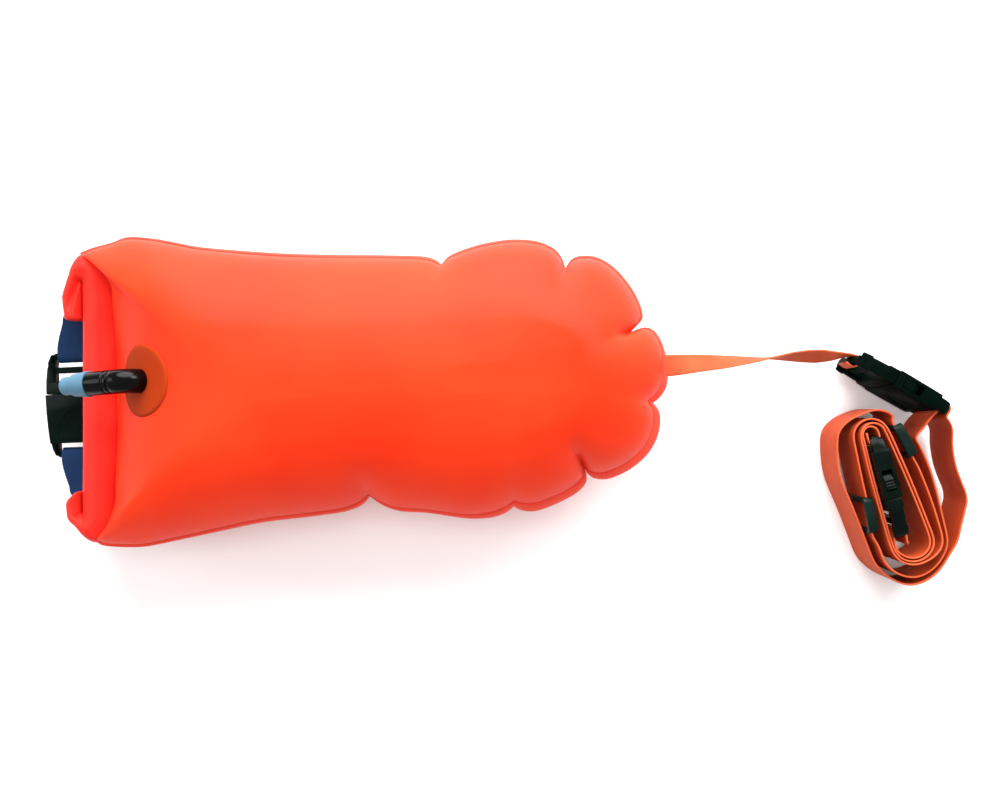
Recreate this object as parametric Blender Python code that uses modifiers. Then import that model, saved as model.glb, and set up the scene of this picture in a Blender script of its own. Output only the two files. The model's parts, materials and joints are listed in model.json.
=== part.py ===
"""Open water swim buoy: inflated roll-top float, oral valve, leash and coiled waist belt.

Metres, +Z up. The origin is the middle of the flat patch that the float rests on,
+X runs from the rolled mouth to the scalloped end where the leash leaves.
"""
import bpy
import bmesh
import math
from mathutils import Matrix, Vector

# Fits shared by all pieces
SEAT_GAP = 0.0003
SLIDE_GAP = 0.0006
CUT_OVERRUN = 0.002
EDGE_ANGLE = math.radians(50)

# Float bag
BAG_LENGTH = 0.402
BAG_MOUTH_X = -0.186
BAG_HALF_WIDTH = 0.092
BAG_TOP_HEIGHT = 0.130
SEAM_HEIGHT = 0.063
SEAM_FLANGE = 0.007
PANEL_SHEET = 0.0009
LINER_SHEET = 0.0004
LINER_RISE = 0.012
SPINE_START_X = -0.070
SPINE_END_X = 0.115
OUTLINE_STEP = 0.0135
DOME_POWER_SHARE = 2.1
DOME_ROOT_SHARE = 0.62
CROWN_SHARE = 0.16
REST_SHARE = 0.24
dome_ring_shares = (1.0, 0.95, 0.86, 0.74, 0.6, 0.44)
liner_ring_shares = (1.0, 0.7, 0.4)
scallop_blend_shares = (1.0, 0.9, 0.62, 0.36, 0.16, 0.04)
# Corners of the outline: share of the length from the mouth, share of the half width,
# and how far the edge swells on its way to the next corner, as a share of that chord
outline_shares = (
    (0.000, -1.24, 0.000),
    (0.000, 1.24, -0.012),
    (0.530, 1.02, 0.090),
    (0.590, 0.957, 0.195),
    (0.821, 0.902, 0.370),
    (0.933, 0.326, 0.306),
    (0.973, -0.239, 0.335),
    (0.836, -0.717, 0.230),
    (0.706, -1.027, 0.120),
    (0.443, -0.902, 0.110),
    (0.385, -1.010, -0.012),
)

# Rolled mouth with its folded-back ears
ROLL_WIDTH = 0.026
ROLL_HEIGHT = 0.020
ROLL_FOLD_Y = 0.097
ROLL_EAR_WIDTH = 0.0108
ROLL_EAR_HEIGHT = 0.024
ROLL_EAR_END_Y = 0.060
ROLL_FOLD_HEIGHT = 0.028
ROLL_SIDES = 14
ROLL_SQUARE_SHARE = 0.75
roll_station_shares = (0, 0.45, 0.85)
FOLD_STEPS = 6

# Closure webbing, belt webbing and leash webbing
CLOSURE_WEB_WIDTH = 0.038
CLOSURE_WEB_X = -0.221
CLOSURE_WEB_OVERLAP = 0.026
BELT_WIDTH = 0.038
LEASH_WIDTH = 0.016
LEASH_TAIL_SHARE = 0.35
WEB_SHEET = 0.0014

# Side-release buckle, one size for closure, leash and belt
BUCKLE_WIDTH = 0.056
BUCKLE_DEPTH = 0.013
FEMALE_LENGTH = 0.047
MALE_LENGTH = 0.031
FEMALE_BODY_LENGTH = 0.0365
MALE_BODY_LENGTH = 0.009
MALE_BODY_DEPTH = 0.012
RAIL_DEPTH = 0.0095
HEAD_DEPTH = 0.0115
HEAD_LENGTH = 0.0085
BUCKLE_EDGE = 0.0009
FACE_RECESS = 0.0005
# Half width along each half of the buckle: share of its length from the mouth, share of
# the half width
female_side_shares = (
    (0, 1.0), (0.25, 0.99), (0.5, 0.965), (0.72, 0.93), (0.86, 0.885), (0.95, 0.82), (1, 0.74),
)
male_side_shares = ((0, 1.0), (0.35, 0.99), (0.62, 0.95), (0.82, 0.89), (0.94, 0.82), (1, 0.74))
# Outline of the shallow recess on the female's faces: shares of its body length and half width
recess_shares = ((0.26, 0.0), (0.29, 0.2), (0.37, 0.4), (0.51, 0.56), (0.70, 0.64), (0.90, 0.66))
BAR_WIDTH = 0.0045
BAR_DEPTH = 0.005
BAR_SLOT = 0.006
BAR_SLOT_SPAN = 0.0405
POCKET_DEPTH = 0.028
POCKET_SPAN = 0.0416
POCKET_HEIGHT = 0.0078
WINDOW_NEAR = 0.0056
WINDOW_FAR = 0.0216
PRONG_DEPTH = 0.0071
PRONG_PIVOT_X = 0.003
PRONG_PIVOT_Y = 0.0145
PRONG_ROOT = 0.002
PRONG_REACH = 0.0208
PRONG_PAD_OUT = 0.0278
PAD_RIB = 0.0006
GUIDE_WIDTH = 0.010
GUIDE_REACH = 0.024

# Where the three buckles are: middle of the mouth line
CLOSURE_BUCKLE_Y = 0.003
CLOSURE_BUCKLE_DROP = 0.0025
CLOSURE_BUCKLE_Z = SEAM_HEIGHT - ROLL_HEIGHT / 2 - CLOSURE_BUCKLE_DROP - BUCKLE_DEPTH / 2
LEASH_BUCKLE_X = 0.3862
LEASH_BUCKLE_Y = -0.0118
LEASH_BUCKLE_Z = 0.0288
LEASH_BUCKLE_TURN = math.radians(147.5)
LEASH_BUCKLE_TILT = math.radians(88)

# Leash from under the weld flange to the buckle: x, y, z and the webbing's turn in degrees
LEASH_SEWN_HEIGHT = SEAM_HEIGHT - SEAT_GAP * 2.5 - LINER_SHEET - PANEL_SHEET - WEB_SHEET / 2
leash_route = (
    (0.2095, 0.0053, LEASH_SEWN_HEIGHT, 180), (0.2165, 0.0053, LEASH_SEWN_HEIGHT, 178),
    (0.2270, 0.0057, 0.0590, 160),
    (0.2400, 0.0062, 0.0570, 145), (0.2550, 0.0066, 0.0540, 132), (0.2700, 0.0072, 0.0500, 117),
    (0.2850, 0.0080, 0.0455, 103), (0.2990, 0.0088, 0.0412, 87), (0.3120, 0.0092, 0.0376, 71),
    (0.3250, 0.0090, 0.0345, 58), (0.3370, 0.0085, 0.0320, 54), (0.3490, 0.0080, 0.0300, 68),
)

# Belt coil, standing on edge
COIL_X = 0.3774
COIL_Y = -0.0861
COIL_TURN = math.radians(102.4)
COIL_TOP_ALONG = 0.0345
COIL_TOP_ACROSS = 0.0006
COIL_TOP_RADIUS = 0.009
COIL_FOOT_ALONG = -0.050
COIL_FOOT_ACROSS = 0.008
COIL_FOOT_RADIUS = 0.0155
COIL_LAYER_PITCH = 0.0024
COIL_SIDE_SHARE = 0.36
COIL_ARC_STEP_DEG = 13
COIL_SIDE_STEP_DEG = 4.6
COIL_LOW_HEIGHT = 0.0193
COIL_HIGH_HEIGHT = BUCKLE_WIDTH / 2 + SEAT_GAP
OUTER_START_DEG, OUTER_END_DEG = 115, 998
INNER_START_DEG, INNER_END_DEG = 430, 1003
LOOSE_SWELL = 0.031
# How far each strand stands off the even coil: degrees of winding, share of the swell
outer_swell_shares = (
    (115, 0), (560, 0), (600, 0.13), (625, 0.245), (650, 0.23), (670, 0.22), (700, 0.14),
    (725, 0.03), (760, 0.29), (785, 0.52), (805, 0.42), (820, 0.28), (840, 0.24),
    (870, 0.23), (900, 0.32), (930, 0.29), (950, 0.28), (965, 0.42), (976, 0.70),
    (984, 0.98), (987, 1.0), (991, 0.92), (998, 1.16),
)
inner_swell_shares = (
    (430, 0), (700, 0), (740, 0.01), (780, 0.07), (810, 0.12), (840, 0.17), (870, 0.21),
    (900, 0.28), (930, 0.28), (955, 0.28), (970, 0.32), (985, 0.42), (993, 0.45), (1003, 0.40),
)
# How high each strand's middle stands: degrees of winding, share from low to high
outer_height_shares = ((115, 1), (560, 1), (640, 0.66), (705, 0.66), (840, 0), (960, 0), (998, 0.3))
inner_height_shares = ((430, 1), (640, 1), (760, 0.66), (850, 0.66), (930, 0), (975, 0), (1003, 0.6))
HOOK_ALONG = 0.035

# Belt sliders
SLIDER_LENGTH = 0.028
SLIDER_WIDTH = 0.046
SLIDER_BAR = 0.0045
SLIDER_SHEET = 0.0024
SLIDER_TRAVEL = 0.004
SLIDER_1_ALONG, SLIDER_1_ACROSS = 0.024, 0.0225
SLIDER_2_ALONG, SLIDER_2_ACROSS = -0.024, -0.0170
SLIDER_1_LEAN = math.radians(-13.3)
SLIDER_2_LEAN = math.radians(4)
SLIDER_HEIGHT_SHARE = 0.66

# Oral valve
VALVE_X = -0.1545
VALVE_Y = 0.0085
VALVE_ELBOW_SHIFT = -0.0012
VALVE_PATCH_RADIUS = 0.025
VALVE_PATCH_SHEET = 0.0008
VALVE_PATCH_LIFT = 0.0004
VALVE_AIR_HOLE_RADIUS = 0.004
VALVE_TUBE_RADIUS = 0.0084
VALVE_TUBE_BORE = 0.0058
VALVE_TUBE_LENGTH = 0.0177
VALVE_RISE = 0.0135
VALVE_SLOPE = math.radians(15)
VALVE_TURN = math.radians(2)
VALVE_ELBOW_BEND = 0.0095
VALVE_ELBOW_RUN = 0.003
VALVE_ELBOW_STEPS = 6
VALVE_GROOVE_DEPTH = 0.0005
VALVE_GROOVE_PLACE = 0.0028
VALVE_GROOVE_WIDTH = 0.001
VALVE_SEAT_PLACE = 0.0063
VALVE_SEAT_WALL = 0.002
VALVE_SEAT_BORE = 0.0034
LOCK_RING_RADIUS = 0.0090
LOCK_RING_TOP_RADIUS = 0.0078
LOCK_RING_LENGTH = 0.0123
LOCK_RING_EDGE = 0.0006
MOUTHPIECE_RADIUS = 0.0064
MOUTHPIECE_NOSE_LENGTH = 0.0138
MOUTHPIECE_SINK = 0.0045
MOUTHPIECE_EDGE = 0.0024
MOUTHPIECE_BORE = 0.0030
MOUTHPIECE_STEM_RADIUS = 0.0052
MOUTHPIECE_STEM_LENGTH = 0.0115
# Rounded tip: shares of its edge, inwards and up
mouthpiece_tip_shares = ((1.0, 1.0), (0.62, 0.9), (0.28, 0.66), (0.07, 0.3))
POPPET_STEM_RADIUS = 0.0022
POPPET_DISC_RADIUS = 0.0050
POPPET_DISC_SHEET = 0.0016
SEAL_WALL = 0.0012
SPRING_WIRE = 0.0004
SPRING_RADIUS = 0.0042
SPRING_CURLS = 3
SPRING_CURL_STEPS = 10

TURN_STEPS = 20


def clear_scene():
    for item in list(bpy.data.objects):
        bpy.data.objects.remove(item, do_unlink=True)


def new_collection(name):
    collection = bpy.data.collections.new(name)
    bpy.context.scene.collection.children.link(collection)
    return collection


def plastic(name, colour, roughness):
    material = bpy.data.materials.new(name)
    material.use_nodes = True
    shader = material.node_tree.nodes["Principled BSDF"]
    shader.inputs["Base Color"].default_value = (*colour, 1)
    shader.inputs["Roughness"].default_value = roughness
    material.diffuse_color = (*colour, 1)
    return material


clear_scene()
PARTS = new_collection("swim_buoy")
CUTTERS = new_collection("cutters")
FABRIC = plastic("coated_fabric", (0.90, 0.09, 0.03), 0.5)
LINER = plastic("liner_film", (0.75, 0.16, 0.08), 0.5)
PATCH = plastic("patch_fabric", (0.60, 0.08, 0.02), 0.55)
BLUE_WEB = plastic("blue_webbing", (0.02, 0.06, 0.30), 0.8)
ORANGE_WEB = plastic("orange_webbing", (0.70, 0.09, 0.03), 0.8)
ACETAL = plastic("black_acetal", (0.012, 0.018, 0.016), 0.35)
RUBBER = plastic("black_rubber", (0.01, 0.01, 0.01), 0.3)
PALE_BLUE = plastic("pale_blue_plastic", (0.16, 0.40, 0.62), 0.4)
STEEL = plastic("spring_steel", (0.6, 0.6, 0.6), 0.3)
STEEL.node_tree.nodes["Principled BSDF"].inputs["Metallic"].default_value = 1.0


def place(name, mesh, material, matrix=None, collection=None):
    item = bpy.data.objects.new(name, mesh)
    (collection or PARTS).objects.link(item)
    item.matrix_world = matrix or Matrix.Identity(4)
    if material:
        mesh.materials.clear()
        mesh.materials.append(material)
    return item


def mesh_of(bm, name):
    mesh = bpy.data.meshes.new(name)
    bm.to_mesh(mesh)
    bm.free()
    return mesh


def solidify(item, thickness, offset):
    wall = item.modifiers.new("wall", "SOLIDIFY")
    wall.thickness = thickness
    wall.offset = offset
    return wall


def soften(item, width, segments=1):
    edge = item.modifiers.new("edge", "BEVEL")
    edge.width = width
    edge.segments = segments
    edge.limit_method = "ANGLE"
    edge.angle_limit = EDGE_ANGLE
    return edge


def cut(item, cutter):
    boolean = item.modifiers.new("cut_" + cutter.name, "BOOLEAN")
    boolean.operation = "DIFFERENCE"
    boolean.object = cutter


def join(item, other):
    boolean = item.modifiers.new("join_" + other.name, "BOOLEAN")
    boolean.operation = "UNION"
    boolean.object = other


def guide(item):
    item.hide_render = True
    item.display_type = "WIRE"
    return item


def box(name, low, high, matrix, material=None, collection=None):
    bm = bmesh.new()
    bmesh.ops.create_cube(bm, size=1)
    low, high = Vector(low), Vector(high)
    size = high - low
    bmesh.ops.scale(bm, vec=size, verts=bm.verts)
    bmesh.ops.translate(bm, vec=(low + high) / 2, verts=bm.verts)
    item = place(name, mesh_of(bm, name), material, matrix, collection or CUTTERS)
    return guide(item) if collection is None else item


def plate(name, outline, depth, matrix, material, collection=None):
    """A flat outline given a depth, as one closed mesh."""
    curve = bpy.data.curves.new(name, "CURVE")
    curve.dimensions = "2D"
    curve.fill_mode = "BOTH"
    curve.extrude = depth / 2
    spline = curve.splines.new("POLY")
    spline.points.add(len(outline) - 1)
    for point, (x, y) in zip(spline.points, outline):
        point.co = (x, y, 0, 1)
    spline.use_cyclic_u = True
    return curve_piece(name, curve, matrix, material, collection)


def curve_piece(name, curve, matrix, material, collection=None):
    guide_item = bpy.data.objects.new(name + "_curve", curve)
    bpy.context.scene.collection.objects.link(guide_item)
    bpy.context.view_layer.update()
    graph = bpy.context.evaluated_depsgraph_get()
    mesh = bpy.data.meshes.new_from_object(guide_item.evaluated_get(graph))
    bpy.data.objects.remove(guide_item)
    bm = bmesh.new()
    bm.from_mesh(mesh)
    bmesh.ops.remove_doubles(bm, verts=bm.verts, dist=SEAT_GAP / 10)
    bmesh.ops.recalc_face_normals(bm, faces=bm.faces)
    bm.to_mesh(mesh)
    bm.free()
    mesh.name = name
    return place(name, mesh, material, matrix, collection)


def tube_piece(name, points, radius, resolution, material, matrix=None, collection=None):
    """A round tube or wire along points, as one closed mesh."""
    curve = bpy.data.curves.new(name, "CURVE")
    curve.dimensions = "3D"
    curve.bevel_depth = radius
    curve.bevel_resolution = resolution
    curve.use_fill_caps = True
    spline = curve.splines.new("POLY")
    spline.points.add(len(points) - 1)
    for knot, point in zip(spline.points, points):
        knot.co = (*point, 1)
    return curve_piece(name, curve, matrix, material, collection)


def rounded(corners, radius, steps=3):
    """The corners of a convex outline, each turned into a short arc."""
    outline = []
    for index, corner in enumerate(corners):
        corner = Vector(corner)
        before = Vector(corners[index - 1]) - corner
        after = Vector(corners[(index + 1) % len(corners)]) - corner
        start = corner + before.normalized() * min(radius, before.length / 2)
        end = corner + after.normalized() * min(radius, after.length / 2)
        for step in range(steps + 1):
            share = step / steps
            outline.append(
                start * (1 - share) ** 2 + corner * 2 * share * (1 - share) + end * share**2
            )
    return outline


def ring_loft(rings, cap_first=False, cap_last=False):
    """Quads between rings that have the same number of points."""
    bm = bmesh.new()
    rows = [[bm.verts.new(point) for point in ring] for ring in rings]
    for row, following in zip(rows, rows[1:]):
        for index in range(len(row)):
            beyond = (index + 1) % len(row)
            bm.faces.new((row[index], row[beyond], following[beyond], following[index]))
    if cap_first:
        bm.faces.new(list(reversed(rows[0])))
    if cap_last:
        bm.faces.new(rows[-1])
    return bm


def turned(name, profile, matrix, material, on_axis=True, steps=TURN_STEPS, collection=None):
    """A profile of (radius, height) pairs turned about its own Z axis."""
    bm = bmesh.new()
    verts = [bm.verts.new((radius, 0, height)) for radius, height in profile]
    pairs = list(zip(verts, verts[1:]))
    if not on_axis:
        pairs.append((verts[-1], verts[0]))
    for first, second in pairs:
        bm.edges.new((first, second))
    item = place(name, mesh_of(bm, name), material, matrix, collection)
    screw = item.modifiers.new("turn", "SCREW")
    screw.steps = screw.render_steps = steps
    screw.use_merge_vertices = True
    screw.merge_threshold = SEAT_GAP / 30
    return item


def tween(table, position):
    """Eases between the rows of a table of (position, value)."""
    if position <= table[0][0]:
        return table[0][1]
    for (start, first), (end, second) in zip(table, table[1:]):
        if position <= end:
            share = (position - start) / (end - start)
            return first + (second - first) * share * share * (3 - 2 * share)
    return table[-1][1]


def arc_between(start, end, swell_share, steps):
    """Points from start, up to but without end, on an arc that swells to the left."""
    chord = end - start
    if abs(swell_share) * chord.length < SEAT_GAP:
        return [start + chord * step / steps for step in range(steps)]
    rise = swell_share * chord.length
    radius = (chord.length**2 / 4 + rise**2) / (2 * rise)
    left = Vector((-chord.y, chord.x)).normalized()
    centre = (start + end) / 2 + left * (rise - radius)
    sweep = 4 * math.atan(2 * swell_share)
    turn = Matrix.Rotation(-sweep / steps, 2)
    arm = start - centre
    points = []
    for _ in range(steps):
        points.append(centre + arm)
        arm = turn @ arm
    return points


def bag_outline():
    corners = [
        (Vector((BAG_MOUTH_X + along * BAG_LENGTH, across * BAG_HALF_WIDTH)), swell)
        for along, across, swell in outline_shares
    ]
    points = []
    for index, (corner, swell) in enumerate(corners):
        following = corners[(index + 1) % len(corners)][0]
        steps = max(2, round((following - corner).length / OUTLINE_STEP))
        points += arc_between(corner, following, swell, steps)
    return points


def spine_point(point):
    return Vector((min(max(point.x, SPINE_START_X), SPINE_END_X), 0))


def flange_inner(points):
    return [p + (spine_point(p) - p).normalized() * SEAM_FLANGE for p in points]


def evened(points, passes=14):
    """The same ring with its scallops smoothed away."""
    for _ in range(passes):
        points = [
            (points[index - 1] + point * 2 + points[(index + 1) % len(points)]) / 4
            for index, point in enumerate(points)
        ]
    return points


def dome(share):
    return (1 - share**DOME_POWER_SHARE) ** DOME_ROOT_SHARE


def dome_rings(ring_shares, cap_share, base, rise):
    """Flat weld flange, then rings that climb to the crown."""
    outline = bag_outline()
    inner = flange_inner(outline)
    calm = evened(inner)
    rings = [[(p.x, p.y, base) for p in outline]]
    for index, share in enumerate((*ring_shares, cap_share)):
        keep = tween(list(zip(reversed(dome_ring_shares), reversed(scallop_blend_shares))), share)
        ring = []
        for sharp, smooth in zip(inner, calm):
            edge = sharp * keep + smooth * (1 - keep)
            spine = spine_point(edge)
            point = spine + (edge - spine) * share
            ring.append((point.x, point.y, base + rise * dome(share) / dome(cap_share)))
        rings.append(ring)
    return rings


def fabric_panel(name, ring_shares, cap_share, base, rise, sheet, material):
    """One welded sheet of the float; its outer face is the one that is drawn."""
    bm = ring_loft(dome_rings(ring_shares, cap_share, base, rise), cap_last=True)
    bmesh.ops.recalc_face_normals(bm, faces=bm.faces)
    crown = max(bm.faces, key=lambda face: abs(face.calc_center_median().z - base))
    if (crown.normal.z > 0) != (rise > 0):
        bmesh.ops.reverse_faces(bm, faces=bm.faces)
    item = place(name, mesh_of(bm, name), material)
    solidify(item, sheet, -1)
    return item


def float_bag():
    liner_face = SEAT_GAP / 2 + LINER_SHEET
    panel_face = liner_face + SEAT_GAP + PANEL_SHEET
    front = fabric_panel(
        "outer_front_panel", dome_ring_shares, CROWN_SHARE, SEAM_HEIGHT + panel_face,
        BAG_TOP_HEIGHT - SEAM_HEIGHT - panel_face, PANEL_SHEET, FABRIC,
    )
    fabric_panel(
        "outer_back_panel", dome_ring_shares, REST_SHARE, SEAM_HEIGHT - panel_face,
        panel_face - SEAM_HEIGHT, PANEL_SHEET, FABRIC,
    )
    for side, facing in (("front", 1), ("back", -1)):
        fabric_panel(
            "liner_" + side + "_sheet", liner_ring_shares, REST_SHARE,
            SEAM_HEIGHT + facing * liner_face, facing * LINER_RISE, LINER_SHEET, LINER,
        )
    return front


def roll_section(pivot, angle, width, height):
    """A rounded bundle section standing in the plane that turns about the fold."""
    outward = Vector((math.cos(angle), math.sin(angle), 0))
    centre = pivot + outward * (SEAT_GAP + width / 2)
    ring = []
    for side in range(ROLL_SIDES):
        turn = 2 * math.pi * side / ROLL_SIDES
        across = math.copysign(abs(math.cos(turn)) ** ROLL_SQUARE_SHARE, math.cos(turn))
        upward = math.copysign(abs(math.sin(turn)) ** ROLL_SQUARE_SHARE, math.sin(turn))
        ring.append(centre + outward * across * width / 2 + Vector((0, 0, upward * height / 2)))
    return ring


def roll_top():
    pivot_x = BAG_MOUTH_X - SEAT_GAP - ROLL_WIDTH - SEAT_GAP
    rings = []
    for share in roll_station_shares:
        pivot = Vector((pivot_x, ROLL_FOLD_Y * share, SEAM_HEIGHT))
        rings.append(roll_section(pivot, 0, ROLL_WIDTH, ROLL_HEIGHT))
    fold = Vector((pivot_x, ROLL_FOLD_Y, SEAM_HEIGHT))
    middle_width = (ROLL_WIDTH + ROLL_EAR_WIDTH) / 3
    widths = ((0, ROLL_WIDTH), (0.5, middle_width), (1, ROLL_EAR_WIDTH))
    heights = ((0, ROLL_HEIGHT), (0.5, ROLL_FOLD_HEIGHT), (1, ROLL_EAR_HEIGHT))
    for step in range(FOLD_STEPS + 1):
        share = step / FOLD_STEPS
        rings.append(
            roll_section(fold, math.pi * share, tween(widths, share), tween(heights, share))
        )
    for share in (0.5, 1):
        pivot = fold + Vector((0, (ROLL_EAR_END_Y - ROLL_FOLD_Y) * share, 0))
        rings.append(roll_section(pivot, math.pi, ROLL_EAR_WIDTH, ROLL_EAR_HEIGHT))
    bm = ring_loft(rings, cap_last=True)
    bmesh.ops.recalc_face_normals(bm, faces=bm.faces)
    item = place("roll_top", mesh_of(bm, "roll_top"), FABRIC)
    mirror = item.modifiers.new("other_half", "MIRROR")
    mirror.use_axis = (False, True, False)
    mirror.merge_threshold = SEAT_GAP / 10
    return item


def strap(name, stations, width, material):
    """Webbing: stations are (middle point, direction across the webbing)."""
    bm = bmesh.new()
    rows = []
    for middle, across in stations:
        half = across.normalized() * width / 2
        rows.append([bm.verts.new(middle - half), bm.verts.new(middle + half)])
    for row, following in zip(rows, rows[1:]):
        bm.faces.new((row[0], row[1], following[1], following[0]))
    item = place(name, mesh_of(bm, name), material)
    solidify(item, WEB_SHEET, 0)
    return item


def local_stations(matrix, points):
    """Points (along, through) of a buckle's own frame, the webbing's width along its Y."""
    across = (matrix.to_3x3() @ Vector((0, 1, 0))).normalized()
    return [(matrix @ Vector((along, 0, through)), across) for along, through in points]


FEMALE_BAR_X = -(FEMALE_LENGTH - BAR_WIDTH / 2)
MALE_BAR_X = MALE_LENGTH - BAR_WIDTH / 2
WRAP_RADIUS = math.hypot(BAR_WIDTH, BAR_DEPTH) / 2 + SEAT_GAP + WEB_SHEET / 2


def bar_wrap(bar_x, start_deg, end_deg, steps=8):
    """Webbing bent round a bar; 0 degrees is on the bar's side that faces the mouth."""
    facing = 1 if bar_x < 0 else -1
    points = []
    for step in range(steps + 1):
        angle = math.radians(start_deg + (end_deg - start_deg) * step / steps)
        points.append(
            (bar_x + facing * WRAP_RADIUS * math.cos(angle), WRAP_RADIUS * math.sin(angle))
        )
    return points


def side_points(table, length, start, end):
    """The curved side of one half of the buckle between two places along it."""
    places = [start] + [share * length for share, _ in table if start < share * length < end]
    half = BUCKLE_WIDTH / 2 - BUCKLE_EDGE
    return [(place, half * tween(table, place / length)) for place in (*places, end)]


def half_outline(table, length, start, end, facing):
    """Both sides of one half of the buckle, as a closed outline; facing is its way along X."""
    side = side_points(table, length, start, end)
    return [(facing * x, -y) for x, y in side] + [(facing * x, y) for x, y in reversed(side)]


def prong_outline():
    """The upper prong: round root in the male, arm, ribbed finger pad and catch."""
    inner, outer = PRONG_PIVOT_Y - PRONG_ROOT, PRONG_PIVOT_Y + PRONG_ROOT
    pad_near = WINDOW_NEAR + SLIDE_GAP
    root = [
        (
            PRONG_PIVOT_X + PRONG_ROOT * math.cos(math.radians(turn)),
            PRONG_PIVOT_Y + PRONG_ROOT * math.sin(math.radians(turn)),
        )
        for turn in (-90, -45, 0, 45, 90)
    ]
    arm = [
        (-pad_near, outer + PRONG_ROOT * 0.4),
        (-pad_near, PRONG_PAD_OUT - PRONG_ROOT * 0.6),
        (-pad_near - PRONG_ROOT * 0.5, PRONG_PAD_OUT),
    ]
    for rib in range(3):
        foot = pad_near + PRONG_ROOT + rib * PAD_RIB * 3.5
        drop = PAD_RIB * (1 + rib * 0.6)
        arm += [
            (-foot, PRONG_PAD_OUT - drop), (-foot - PAD_RIB, PRONG_PAD_OUT - drop),
            (-foot - PAD_RIB * 2, PRONG_PAD_OUT - drop + PAD_RIB * 0.7),
        ]
    arm += [
        (-PRONG_REACH + PRONG_ROOT * 1.6, PRONG_PAD_OUT - PRONG_ROOT * 1.6),
        (-PRONG_REACH + PRONG_ROOT * 0.8, PRONG_PIVOT_Y + PRONG_ROOT * 2.6),
        (-PRONG_REACH, outer),
        (-PRONG_REACH + PRONG_ROOT * 0.3, inner + PRONG_ROOT * 0.8),
        (-(pad_near + PRONG_REACH) / 2, inner + PRONG_ROOT * 0.3),
    ]
    return root + arm


def thin_bar(item, prefix, span, matrix):
    """Clears both faces of the bars between the rails, so that webbing lies inside them."""
    wide = BAR_SLOT_SPAN / 2 + BUCKLE_EDGE
    for facing in (-1, 1):
        low, high = sorted((facing * BAR_DEPTH / 2, facing * BUCKLE_DEPTH))
        cut(item, box(prefix + "_clear_" + ("front" if facing > 0 else "back"),
                      (span[0], -wide, low), (span[1], wide, high), matrix))


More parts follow.
